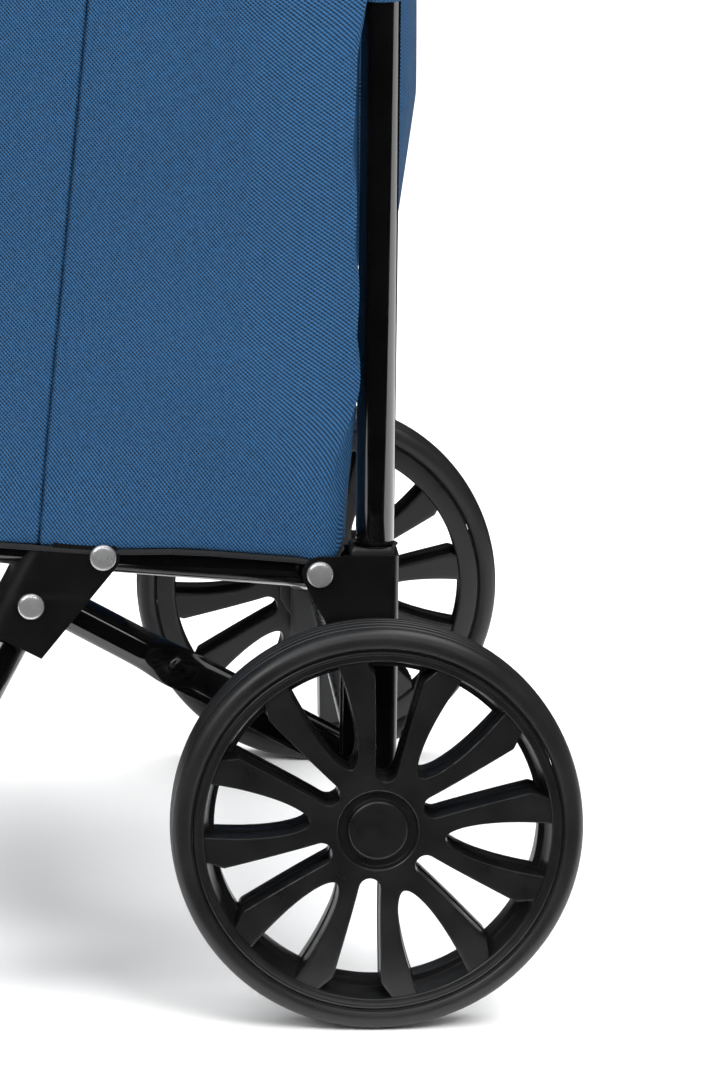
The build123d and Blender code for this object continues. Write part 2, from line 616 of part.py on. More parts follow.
def brace_pin():
    """The brace's own half of the leg rivet, which ends short of the bracket."""
    inner, outer = BRACE_X - TUBE_RADIUS, BRACE_X + TUBE_RADIUS
    return rivet(inner, outer, LEG_PIVOT, head_out=False)


# ---- bag -------------------------------------------------------------------
def bag_base(above):
    """The plane of the bag's base, a height above the middle of the platform tubes."""
    middle = in_platform(BAG_BACK + BAG_DEPTH_BOTTOM / 2 - MAIN_PIVOT[0], above)
    return Pos(middle) * Rot(-PLATFORM_RISE, 0, 0)


def bag_section(level, inset):
    """The bag's outline at a level from 0, its base, to 1, its rim."""
    low = TUBE_RADIUS + BAG_CLEAR
    base = bag_base(low).position
    top_z = base.Z + BAG_HEIGHT
    depth = BAG_DEPTH_BOTTOM + (BAG_DEPTH_TOP - BAG_DEPTH_BOTTOM) * level - 2 * inset
    width = BAG_WIDTH_BOTTOM + (BAG_WIDTH_TOP - BAG_WIDTH_BOTTOM) * level - 2 * inset
    outline = RectangleRounded(width, depth, BAG_CORNER - inset)
    back = AXLE_Y - BAG_BACK - inset
    height = base.Z + (top_z - base.Z) * level
    tilt = -PLATFORM_RISE * (1 - level)
    return Pos(0, back - depth / 2, height) * Rot(tilt, 0, 0) * outline


def bag_shell():
    """The bag's body: four walls and a base, open at the top."""
    outer = loft([bag_section(0, 0), bag_section(1, 0)])
    inner = loft([bag_section(0, CLOTH), bag_section(1, CLOTH)])
    mouth = extrude(bag_section(1, CLOTH), 3 * CLOTH, dir=(0, 0, 1))
    return outer - Pos(0, 0, CLOTH) * inner - mouth


def bag_piping():
    """The corded edge round the bag's base."""
    outline = bag_section(0, -PIPING_RADIUS - PIPING_GAP)
    path = Wire(Pos(0, 0, PIPING_RADIUS) * outline.face().outer_wire())
    start = Plane(origin=path @ 0, z_dir=path % 0)
    return sweep(start * Circle(PIPING_RADIUS), path, transition=Transition.ROUND)


def rim_height():
    """The height of the bag's rim."""
    return bag_base(TUBE_RADIUS + BAG_CLEAR).position.Z + BAG_HEIGHT


def bag_lid():
    """A flap over the bag's mouth, with a skirt in front and on both sides."""
    grow = LID_GAP + LID_THICKNESS
    flare = LID_SKIRT / BAG_HEIGHT
    width = BAG_WIDTH_TOP + (BAG_WIDTH_BOTTOM - BAG_WIDTH_TOP) * flare + 2 * grow
    depth = BAG_DEPTH_TOP + (BAG_DEPTH_BOTTOM - BAG_DEPTH_TOP) * flare + grow
    height = LID_SKIRT + grow
    back = AXLE_Y - BAG_BACK
    low = rim_height() + LID_GAP + LID_THICKNESS - height
    shape = Box(width, depth, height, align=(Align.CENTER, Align.MAX, Align.MIN))
    upright_edges = shape.edges().filter_by(Axis.Z).group_by(Axis.Y)[0]
    shape = fillet(upright_edges, BAG_CORNER + grow)
    room = Box(
        width - 2 * LID_THICKNESS,
        depth - LID_THICKNESS,
        height - LID_THICKNESS,
        align=(Align.CENTER, Align.MAX, Align.MIN),
    )
    room_edges = room.edges().filter_by(Axis.Z).group_by(Axis.Y)[0]
    room = fillet(room_edges, BAG_CORNER + LID_GAP)
    return Pos(0, back, low) * (shape - room)


def rear_pocket():
    """A pocket on the bag's back, between the uprights, tapered at its foot."""
    back = BAG_BACK - SIDE_GAP
    lead = -POCKET_DEPTH
    half = POCKET_WIDTH / 2
    points = [
        (back, POCKET_BOTTOM_Z),
        (lead, POCKET_FULL_Z),
        (lead, POCKET_TOP_Z - POCKET_SHOULDER),
        (lead + POCKET_SHOULDER, POCKET_TOP_Z),
        (back, POCKET_TOP_Z),
    ]
    outline = Polyline(*[spot(*point) for point in points], close=True)
    return slab(outline, -half, half)


def bag_loops():
    """Cloth loops round the uprights, sewn to the bag's back corners."""
    rings = []
    for low in LOOP_HEIGHTS:
        for x in (UPRIGHT_X, -UPRIGHT_X):
            radius = TUBE_RADIUS + 2 * SEAT_GAP
            ring = Cylinder(radius + LOOP_WALL, LOOP_HEIGHT) - Cylinder(radius, LOOP_HEIGHT)
            rings.append(Pos(spot(0, low + LOOP_HEIGHT / 2, x)) * ring)
    return group(*rings)


def bag_tabs():
    """Webbing tabs that hang the bag's rim from the upper crossbar."""
    tabs = []
    for x in (TAB_OFFSET, -TAB_OFFSET):
        radius = CROSSBAR_RADIUS + 2 * SEAT_GAP
        low, high = x - TAB_WIDTH / 2, x + TAB_WIDTH / 2
        tab = bar_x(radius + LOOP_WALL, low, high, 0, UPPER_CROSSBAR_Z)
        strap = Box(TAB_WIDTH, LOOP_WALL, TAB_DROP)
        tab += Pos(spot(radius + LOOP_WALL / 2, UPPER_CROSSBAR_Z + TAB_DROP / 2, x)) * strap
        tabs.append(tab - bar_x(radius, low - 1, high + 1, 0, UPPER_CROSSBAR_Z))
    return group(*tabs)


# ---- output ----------------------------------------------------------------
def sub_parts():
    """Every sub-part by the name of its node."""
    left_wheel = wheel_place()
    parts = {
        "upright_tube": upright_tube(),
        "handle_grip": handle_grip(),
        "lower_crossbar": crossbar(LOWER_CROSSBAR_Z),
        "upper_crossbar": crossbar(UPPER_CROSSBAR_Z),
        "axle": axle(),
        "axle_washers": axle_washers(),
        "axle_clips": axle_clips(),
        "main_rivets": main_rivets(),
        "brace_rivets": brace_rivets(),
        "platform_tube": platform_tube(),
        "platform_slats": platform_slats(),
        "base_board": base_board(),
        "stand_leg": stand_leg(),
        "bracket_rivets": bracket_rivets(),
        "leg_rivets": leg_rivets(),
        "bag_shell": bag_shell(),
        "bag_piping": bag_piping(),
        "bag_lid": bag_lid(),
        "rear_pocket": rear_pocket(),
        "bag_loops": bag_loops(),
        "bag_tabs": bag_tabs(),
    }
    pairs = {
        "tyre": left_wheel * tyre(),
        "rim": left_wheel * rim(),
        "wheel_bush": left_wheel * bush(),
        "hub_cap": left_wheel * hub_cap(),
        "axle_channel": axle_channel(),
        "channel_collar": channel_collar(),
        "leg_bracket": leg_bracket(),
        "foot_pad": foot_pad(),
        "brace": brace(),
        "brace_spacer": brace_spacer(),
        "brace_pin": brace_pin(),
    }
    for name, piece in pairs.items():
        left, right = both_sides(piece)
        parts[name + "_left"] = left
        parts[name + "_right"] = right
    return parts


os.makedirs("parts", exist_ok=True)
for node, shape in sub_parts().items():
    export_step(shape, f"parts/{node}.step")
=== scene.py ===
import logging
import math
from dataclasses import dataclass, field
from enum import Enum
from typing import ClassVar, Sequence

import bmesh
import bpy
import numpy as np
from mathutils import Matrix, Vector


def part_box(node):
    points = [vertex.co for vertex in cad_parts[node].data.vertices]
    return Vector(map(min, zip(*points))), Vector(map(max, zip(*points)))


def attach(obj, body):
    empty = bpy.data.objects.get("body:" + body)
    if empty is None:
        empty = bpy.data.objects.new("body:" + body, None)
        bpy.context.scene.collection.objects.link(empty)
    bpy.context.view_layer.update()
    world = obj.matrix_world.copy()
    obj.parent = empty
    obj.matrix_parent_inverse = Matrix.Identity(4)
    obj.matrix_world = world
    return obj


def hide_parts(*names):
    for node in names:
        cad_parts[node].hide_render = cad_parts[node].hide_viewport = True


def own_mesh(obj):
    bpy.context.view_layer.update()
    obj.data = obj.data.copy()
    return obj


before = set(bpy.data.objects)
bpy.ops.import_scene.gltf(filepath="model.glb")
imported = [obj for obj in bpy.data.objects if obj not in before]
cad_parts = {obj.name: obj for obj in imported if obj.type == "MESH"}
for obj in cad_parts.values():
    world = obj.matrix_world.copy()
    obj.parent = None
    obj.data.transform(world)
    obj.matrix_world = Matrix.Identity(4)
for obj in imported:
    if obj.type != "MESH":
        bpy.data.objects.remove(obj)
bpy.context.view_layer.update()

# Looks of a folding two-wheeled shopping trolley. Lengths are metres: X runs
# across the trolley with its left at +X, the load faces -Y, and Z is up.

# A full turn, a millimetre, and a gap in metres that is too small to see.
TAU = 2 * math.pi
MM = 0.001
HAIR = 2e-6
Array = np.ndarray
log = logging.getLogger("trolley")


class Side(Enum):
    """A side of the trolley, as the sign of its X."""

    LEFT = 1
    RIGHT = -1

    @property
    def tag(self) -> str:
        """The word that node names end in."""
        return self.name.lower()


class Weave(Enum):
    """How the threads of a cloth cross."""

    BASKET = "basket"
    RIBBED = "ribbed"


# ---- places read from the frame --------------------------------------------
def middle(node: str) -> Vector:
    """The middle of a CAD node's box."""
    low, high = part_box(node)
    return (low + high) / 2


@dataclass(frozen=True)
class Places:
    """Where the frame's main axes are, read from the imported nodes."""

    axle: Vector = field(default_factory=lambda: middle("axle"))
    main: Vector = field(default_factory=lambda: middle("main_rivets"))
    bracket: Vector = field(default_factory=lambda: middle("bracket_rivets"))
    leg: Vector = field(default_factory=lambda: middle("leg_rivets"))
    brace: Vector = field(default_factory=lambda: middle("brace_rivets"))
    wheel_x: float = field(default_factory=lambda: middle("tyre_left").x)
    upright_x: float = field(default_factory=lambda: middle("axle_channel_left").x)
    brace_x: float = field(default_factory=lambda: middle("brace_left").x)
    tube: float = 8.0 * MM
    wall: float = 1.2 * MM
    sheet: float = 1.5 * MM

    @property
    def bore(self) -> float:
        """The radius of a moulded hole that a tube fills."""
        return self.tube + 0.05 * MM

    @property
    def rise(self) -> float:
        """How far the platform tilts up towards the front, in radians."""
        return math.atan2(self.bracket.z - self.main.z, self.main.y - self.bracket.y)

    @property
    def channel_half(self) -> float:
        """Half the width of a channel or a leg bracket, outside."""
        low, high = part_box("axle_channel_left")
        return (high.x - low.x) / 2

    def on_platform(self, along: float, above: float, x: float = 0.0) -> Array:
        """A point along the platform from its pivot and above the middle of its tubes."""
        sin, cos = math.sin(self.rise), math.cos(self.rise)
        y = self.main.y - along * cos + above * sin
        return np.array((x, y, self.main.z + along * sin + above * cos))


@dataclass(frozen=True)
class LegLine:
    """The stand leg's own line: down the tube and ahead of it."""

    top: Vector
    lean: float = math.radians(27.0)

    def point(self, down: float, ahead: float, x: float = 0.0) -> Array:
        """A point down the tube from its pivot and ahead of its middle."""
        sin, cos = math.sin(self.lean), math.cos(self.lean)
        y = self.top.y - down * sin - ahead * cos
        return np.array((x, y, self.top.z - down * cos + ahead * sin))


PLACES = Places()
LEG = LegLine(PLACES.leg)


# ---- numbers on arrays -----------------------------------------------------
def smooth(value: Array | float, low: float, high: float) -> Array:
    """Goes from 0 at low to 1 at high with level ends: t squared times 3 - 2t."""
    t = np.clip((np.asarray(value, float) - low) / (high - low), 0.0, 1.0)
    return t * t * (3.0 - 2.0 * t)


def ripple(u: Array, v: Array, waves: Sequence[tuple[float, float, float, float]]) -> Array:
    """A sum of sines, each size * sin(2 pi (a u + b v) + phase).

    Args:
        u: First parameter, as an array.
        v: Second parameter, the same shape.
        waves: (size, a, b, phase) of each sine.

    Returns:
        The sum at each point.
    """
    total = np.zeros_like(u, float)
    for size, a, b, phase in waves:
        total = total + size * np.sin(TAU * (a * u + b * v) + phase)
    return total


def rounded_path(corners: Sequence[Sequence[float]], radius: float, steps: int = 14) -> Array:
    """Straight runs joined by tangent arcs of one radius.

    Each corner is replaced by the arc that leaves both runs at radius * tan(turn / 2) from it.

    Args:
        corners: The route's corners, its two ends among them.
        radius: The radius of every arc.
        steps: Points on each arc.

    Returns:
        The points of the path, n by 3.
    """
    points = [np.array(c, float) for c in corners]
    out = [points[0]]
    for before, corner, after in zip(points, points[1:], points[2:]):
        into = (corner - before) / np.linalg.norm(corner - before)
        away = (after - corner) / np.linalg.norm(after - corner)
        turn = math.acos(float(np.clip(into @ away, -1, 1)))
        back = radius * math.tan(turn / 2)
        inward = (away - into) / np.linalg.norm(away - into)
        centre = corner + inward * radius / math.cos(turn / 2)
        first = corner - into * back - centre
        angle = np.linspace(0, turn, steps)[:, None]
        out.extend(centre + first * np.cos(angle) + into * radius * np.sin(angle))
    out.append(points[-1])
    return np.array(out)


def bell(value: Array | float, width: float) -> Array:
    """A bell of height 1 at 0: e to the power of minus (value / width) squared."""
    return np.exp(-((value / width) ** 2))


def squared(value: Array, power: float) -> Array:
    """A sine or cosine pressed towards -1 and 1: its sign times its size to a power."""
    return np.sign(value) * np.abs(value) ** power


def distances(line: Array) -> Array:
    """How far along a line each of its points is."""
    step = np.linalg.norm(np.diff(line, axis=0), axis=1)
    return np.concatenate(([0.0], np.cumsum(step)))


def points_of(*parts: Array | float) -> Array:
    """Coordinates spread to one shape and put together as points."""
    return np.stack(np.broadcast_arrays(*parts), axis=-1)


# ---- meshes from grids -----------------------------------------------------
@dataclass
class Skin:
    """A mesh gathered from grids of points and merged along their seams."""

    spots: list[Array] = field(default_factory=list)
    faces: list[Array] = field(default_factory=list)
    places: list[Array] = field(default_factory=list)
    marks: list[Array] = field(default_factory=list)
    count: int = 0

    def grid(self, points: Array, uv: Array | None = None, mark: int = 0,
             keep: Array | None = None) -> "Skin":
        """Adds a surface given as rows by columns of points.

        Args:
            points: Rows by columns by 3.
            uv: Rows by columns by 2, in metres along the cloth, or None.
            mark: Index of the material.
            keep: Rows - 1 by columns - 1 of bool, False where a face is left out.

        Returns:
            This skin.
        """
        rows, cols = points.shape[:2]
        index = np.arange(rows * cols).reshape(rows, cols) + self.count
        corners = (index[:-1, :-1], index[:-1, 1:], index[1:, 1:], index[1:, :-1])
        quads = np.stack(corners, axis=-1)
        quads = quads[keep] if keep is not None else quads.reshape(-1, 4)
        self.spots.append(points.reshape(-1, 3))
        self.places.append(np.zeros((rows * cols, 2)) if uv is None else uv.reshape(-1, 2))
        self.faces.append(quads)
        self.marks.append(np.full(len(quads), mark))
        self.count += rows * cols
        return self

    def build(self, name: str, finishes: Sequence[bpy.types.Material], angle: float = 38.0,
              closed: bool = True) -> bpy.types.Object:
        """Makes the object: merged seams, outward faces and shading that breaks at sharp edges.

        Args:
            name: The piece's name.
            finishes: Its materials, in the order of the marks.
            angle: Edges sharper than this stay sharp in the shading, in degrees.
            closed: Whether the surface closes, so that its outside can be found.

        Returns:
            The new object, at the origin.
        """
        mesh = bpy.data.meshes.new(name)
        spots, faces = np.concatenate(self.spots), np.concatenate(self.faces)
        mesh.vertices.add(len(spots))
        mesh.vertices.foreach_set("co", spots.astype(np.float32).ravel())
        mesh.loops.add(faces.size)
        mesh.loops.foreach_set("vertex_index", faces.astype(np.int32).ravel())
        mesh.polygons.add(len(faces))
        mesh.polygons.foreach_set("loop_start", np.arange(len(faces), dtype=np.int32) * 4)
        mesh.polygons.foreach_set("material_index", np.concatenate(self.marks).astype(np.int32))
        mesh.update(calc_edges=True)
        layer = mesh.uv_layers.new(name="cloth")
        flat = np.concatenate(self.places)[faces.ravel()]
        layer.data.foreach_set("uv", flat.astype(np.float32).ravel())
        work = bmesh.new()
        work.from_mesh(mesh)
        bmesh.ops.remove_doubles(work, verts=work.verts, dist=HAIR)
        bmesh.ops.dissolve_degenerate(work, edges=work.edges, dist=HAIR / 2)
        if closed:
            bmesh.ops.recalc_face_normals(work, faces=work.faces)
        work.to_mesh(mesh)
        work.free()
        for finish in finishes:
            mesh.materials.append(finish)
        mesh.shade_smooth()
        mesh.set_sharp_from_angle(angle=math.radians(angle))
        piece = bpy.data.objects.new(name, mesh)
        bpy.context.scene.collection.objects.link(piece)
        return piece


def settle(piece: bpy.types.Object, angle: float) -> bpy.types.Object:
    """Applies a piece's modifiers to its own mesh, and shades it smooth up to an angle."""
    graph = bpy.context.evaluated_depsgraph_get()
    mesh = bpy.data.meshes.new_from_object(piece.evaluated_get(graph))
    piece.modifiers.clear()
    piece.data = mesh
    mesh.shade_smooth()
    mesh.set_sharp_from_angle(angle=math.radians(angle))
    return piece


def thicken(piece: bpy.types.Object, wall: float, bevel: float = 0.0, offset: float = 0.0,
            angle: float = 38.0) -> bpy.types.Object:
    """Gives a sheet its thickness and rounds its cut edges.

    Args:
        piece: The sheet's middle, outer or inner face.
        wall: The thickness.
        bevel: Radius of the rounded edges, or 0.
        offset: -1 to 1, as the Solidify modifier has it.
        angle: Edges sharper than this stay sharp in the shading.

    Returns:
        The same piece with its modifiers applied.
    """
    solid = piece.modifiers.new("Wall", "SOLIDIFY")
    solid.thickness = wall
    solid.offset = offset
    solid.use_even_offset = True
    if bevel:
        round_off = piece.modifiers.new("Edges", "BEVEL")
        round_off.width = bevel
        round_off.segments = 2
        round_off.limit_method = "ANGLE"
        round_off.angle_limit = math.radians(50)
    return settle(piece, angle)


def turned(profile: Array, place: Vector | Array, side: Side = Side.LEFT, steps: int = 96) -> Array:
    """A profile turned round an axis along X.

    The point (radius, out) goes to x = place + side * out, and round the axis by
    radius * cos and radius * sin of the angle.

    Args:
        profile: n by 2 of (radius, distance out along the axis).
        place: The point on the axis where out is 0.
        side: Which way out points.
        steps: Divisions round the axis.

    Returns:
        Steps + 1 by n by 3 points.
    """
    angle = np.linspace(0, TAU, steps + 1)[:, None]
    radius, out = profile[None, :, 0], profile[None, :, 1]
    x = place[0] + side.value * out
    return points_of(x, place[1] + radius * np.cos(angle), place[2] + radius * np.sin(angle))


def softened(corners: Sequence[tuple[float, float]], radius: float, steps: int = 4) -> Array:
    """A profile whose inner corners are small arcs.

    Args:
        corners: (radius, out) of each corner, in order.
        radius: Wanted radius, cut down to fit the shorter neighbour.
        steps: Points on each arc.

    Returns:
        n by 2 points.
    """
    flat = [np.array(c, float) for c in corners]
    out = [flat[0]]
    for before, corner, after in zip(flat, flat[1:], flat[2:]):
        a, b = before - corner, after - corner
        la, lb = float(np.linalg.norm(a)), float(np.linalg.norm(b))
        reach = min(radius, 0.45 * la, 0.45 * lb)
        start, end = corner + a / la * reach, corner + b / lb * reach
        t = np.linspace(0, 1, steps)[:, None]
        out.extend((1 - t) ** 2 * start + 2 * t * (1 - t) * corner + t * t * end)
    out.append(flat[-1])
    return np.array(out)


def pipe(path: Array, radius: float, wall: float, normal: Sequence[float], sides: int = 36) -> Array:
    """A tube with open ends and a real wall, carried along a flat path.

    Each row is the path's point plus radius times (cos * normal + sin * in-plane side). The
    rows go out along the outside, round the lip, and back along the inside.

    Args:
        path: n by 3 points in one plane.
        radius: Outer radius.
        wall: Wall thickness.
        normal: The unit normal of the path's plane.
        sides: Divisions round the tube.

    Returns:
        Rows by sides + 1 by 3 points, whose last row is its first.
    """
    along = np.gradient(path, axis=0)
    along /= np.linalg.norm(along, axis=1)[:, None]
    flat = np.broadcast_to(np.array(normal, float), path.shape)
    lateral = np.cross(flat, along)
    angle = np.linspace(0, TAU, sides + 1)[None, :, None]

    def ring(rows: Array, radii: float, shift: float = 0.0) -> Array:
        """Rings of one radius round some of the path's rows."""
        turn = np.cos(angle) * flat[rows][:, None] + np.sin(angle) * lateral[rows][:, None]
        return (path[rows] + along[rows] * shift)[:, None] + radii * turn

    rows = np.arange(len(path))
    first, last, lip = rows[:1], rows[-1:], wall * 0.3
    inner = radius - wall
    parts = (
        ring(first, radius - lip), ring(first, radius, lip), ring(rows[1:-1], radius),
        ring(last, radius, -lip), ring(last, radius - lip), ring(last, inner),
        ring(rows[1:-1][::-1], inner), ring(first, inner), ring(first, radius - lip),
    )
    return np.concatenate(parts)


# ---- finishes --------------------------------------------------------------
class Bench:
    """Puts nodes into a material and links them."""

    def __init__(self, name: str) -> None:
        """Starts a node material with its shader."""
        self.material = bpy.data.materials.new(name)
        self.material.use_nodes = True
        self.tree = self.material.node_tree
        self.tree.nodes.clear()
        self.end = self.tree.nodes.new("ShaderNodeOutputMaterial")
        self.shader = self.tree.nodes.new("ShaderNodeBsdfPrincipled")
        self.link(self.shader, 0, self.end, 0)

    def link(self, source: bpy.types.Node, out: int | str, target: bpy.types.Node,
             into: int | str) -> None:
        """Joins one node's output to another's input."""
        self.tree.links.new(source.outputs[out], target.inputs[into])

    def node(self, kind: str, links: dict[int | str, object] | None = None,
             **values: object) -> bpy.types.Node:
        """Adds a node, sets its properties, and fills its inputs from nodes or numbers.

        Args:
            kind: The node's type, without its first word.
            links: What goes into each input: a node, a node and its output, or a value.
            **values: The node's own properties.

        Returns:
            The new node.
        """
        made = self.tree.nodes.new("ShaderNode" + kind)
        for key, value in values.items():
            setattr(made, key, value)
        for key, value in (links or {}).items():
            if isinstance(value, tuple) and len(value) == 2 and isinstance(value[0], bpy.types.Node):
                self.link(value[0], value[1], made, key)
            elif isinstance(value, bpy.types.Node):
                self.link(value, 0, made, key)
            else:
                made.inputs[key].default_value = value
        return made

    def math(self, kind: str, *values: object) -> bpy.types.Node:
        """A Math node on nodes or numbers."""
        return self.node("Math", dict(enumerate(values)), operation=kind)

    def noise(self, where: object, scale: float, detail: float = 3.0) -> bpy.types.Node:
        """Noise at a scale, read from a coordinate."""
        inputs = {"Vector": where, "Scale": scale, "Detail": detail, "Roughness": 0.55}
        return self.node("TexNoise", inputs)

    def spread(self, value: object, low: float, high: float, start: float = 0.3,
               end: float = 0.7) -> bpy.types.Node:
        """Maps a noise to run from low to high."""
        return self.node("MapRange", {0: value, 1: start, 2: end, 3: low, 4: high}, clamp=True)

    def tint(self, share: object, first: Sequence[float], second: Sequence[float]) -> bpy.types.Node:
        """A colour between two, by a share."""
        return self.node("Mix", {0: share, 6: (*first, 1.0), 7: (*second, 1.0)}, data_type="RGBA")

    def settings(self, **values: float) -> None:
        """Sets the shader's own inputs, named with underscores for spaces."""
        for name, value in values.items():
            self.shader.inputs[name.replace("_", " ")].default_value = value


@dataclass(frozen=True)
class Surface:
    """A hard finish: colour with a little change over it, gloss, grain, and grey specks of dust."""

    DUST: ClassVar[tuple[float, float, float, float]] = (0.30, 0.30, 0.30, 1.0)
    FINE_SHARE: ClassVar[float] = 0.35

    name: str
    colour: tuple[float, float, float]
    other: tuple[float, float, float]
    gloss: tuple[float, float]
    grain: float
    depth: float
    patch: float = 60.0
    metallic: float = 0.0
    coat: float = 0.0
    coat_rough: float = 0.05
    specular: float = 0.5
    stretch: tuple[float, float, float] = (1.0, 1.0, 1.0)
    dust: float = 0.0

    def make(self) -> bpy.types.Material:
        """Builds the node material."""
        bench = Bench(self.name)
        where = bench.node("TexCoord")
        spot = bench.node("Mapping", {"Vector": (where, "Object"), "Scale": self.stretch})
        broad = bench.noise(spot, self.patch, 4.0)
        fine = bench.noise(spot, self.grain, 2.0)
        colour = bench.tint(bench.spread(broad, 0.0, 1.0), self.colour, self.other)
        if self.dust:
            specks = bench.noise(spot, self.grain * 2.3, 1.0)
            share = bench.spread(specks, 0.0, self.dust, 0.66, 0.78)
            colour = bench.node("Mix", {0: share, 6: (colour, 2), 7: self.DUST}, data_type="RGBA")
        bench.link(colour, 2, bench.shader, "Base Color")
        broad_part = bench.math("MULTIPLY", broad, 1.0 - self.FINE_SHARE)
        mixed = bench.math("MULTIPLY_ADD", fine, self.FINE_SHARE, broad_part)
        bench.link(bench.spread(mixed, *self.gloss), 0, bench.shader, "Roughness")
        bump = bench.node("Bump", {"Height": fine, "Strength": 1.0, "Distance": self.depth})
        bench.link(bump, 0, bench.shader, "Normal")
        bench.settings(Metallic=self.metallic, Coat_Weight=self.coat,
                       Coat_Roughness=self.coat_rough, Specular_IOR_Level=self.specular)
        return bench.material


@dataclass(frozen=True)
class Cloth:
    """A woven finish laid along the piece's own UV map, in metres; its colour is darkened in the gaps between
    threads as painted shade and lightened on their crowns as painted light.
    """

    name: str
    # high is the colour on the thread crowns, lightened as painted light; low is the near-black colour in the
    # gaps, painted shade.
    high: tuple[float, float, float]
    low: tuple[float, float, float]
    pitch: float
    weave: Weave = Weave.BASKET
    relief: float = 0.22 * MM
    sheen: float = 0.25
    rough: float = 0.78
    crown: float = 0.5
    dip: float = 0.3
    weft_level: float = 0.25
    slant: float = 0.42

    @staticmethod
    def ridges(bench: Bench, where: object, per_pitch: float = 1.0) -> bpy.types.Node:
        """Ridges across a coordinate that counts pitches: the size of a sine."""
        turned_by = bench.math("MULTIPLY", where, math.pi * per_pitch)
        return bench.math("ABSOLUTE", bench.math("SINE", turned_by))

    def thread(self, bench: Bench, across: object, along: object) -> bpy.types.Node:
        """Threads one way: high along their middles, and lower where they dip."""
        crown = bench.math("MULTIPLY_ADD", across, self.crown, 1.0 - self.crown)
        dip = bench.math("MULTIPLY_ADD", along, self.dip, 1.0 - self.dip)
        return bench.math("MULTIPLY", crown, dip)

    def threads(self, bench: Bench) -> bpy.types.Node:
        """The height of the threads, 0 in the gaps and 1 on their crowns.

        The cloth is a board of squares one pitch wide. In every other square the warp
        threads lie on top, in the rest the wefts do, a little lower. A thread is the size of
        a sine across it with a lower one along it, and a slanting sine lies over them all.
        """
        where = bench.node("UVMap", uv_map="cloth")
        wander = bench.noise((where, 0), 35.0, 2.0)
        shift = bench.math("MULTIPLY", bench.math("SUBTRACT", wander, 0.5), self.pitch * 0.5)
        split = bench.node("SeparateXYZ", {0: (where, 0)})
        a = bench.math("DIVIDE", bench.math("ADD", (split, 0), shift), self.pitch)
        b = bench.math("DIVIDE", bench.math("ADD", (split, 1), shift), self.pitch)
        count = 2.0 if self.weave is Weave.BASKET else 1.0
        across_a, across_b = self.ridges(bench, a, count), self.ridges(bench, b, count)
        along_a, along_b = self.ridges(bench, a), self.ridges(bench, b)
        odd = bench.math("PINGPONG", bench.math("ADD", bench.math("FLOOR", a), bench.math("FLOOR", b)), 1.0)
        warp = self.thread(bench, across_a, along_b)
        weft = bench.math("MULTIPLY", self.thread(bench, across_b, along_a), self.weft_level)
        crowns = bench.node("Mix", {0: odd, 2: warp, 3: weft})
        slant = bench.math("SINE", bench.math("MULTIPLY", bench.math("SUBTRACT", a, b), math.pi))
        return bench.math("MULTIPLY_ADD", slant, self.slant, crowns)

    def make(self) -> bpy.types.Material:
        """Builds the node material."""
        bench = Bench(self.name)
        threads = self.threads(bench)
        where = bench.node("TexCoord")
        cloudy = bench.noise((where, "Object"), 9.0, 3.0)
        slub = bench.noise((where, "Object"), 420.0, 2.0)
        # The thread height sets the colour too: near black in the gaps between threads as painted shade,
        # light on the crowns as painted light, with the slub's real tone mixed in.
        share = bench.math("MULTIPLY_ADD", slub, 0.35, bench.math("MULTIPLY", threads, 0.75))
        colour = bench.tint(share, self.low, self.high)
        faded = bench.node(
            "HueSaturation", {"Color": (colour, 2), "Value": bench.spread(cloudy, 0.94, 1.06)})
        bench.link(faded, 0, bench.shader, "Base Color")
        bench.link(bench.spread(slub, self.rough - 0.06, self.rough + 0.08), 0, bench.shader, "Roughness")
        height = bench.math("MULTIPLY_ADD", slub, 0.2, threads)
        bump = bench.node("Bump", {"Height": height, "Strength": 1.0, "Distance": self.relief})
        bench.link(bump, 0, bench.shader, "Normal")
        bench.settings(Sheen_Weight=self.sheen, Sheen_Roughness=0.45, Specular_IOR_Level=0.3)
        bench.shader.inputs["Sheen Tint"].default_value = (0.75, 0.86, 1.0, 1.0)
        return bench.material


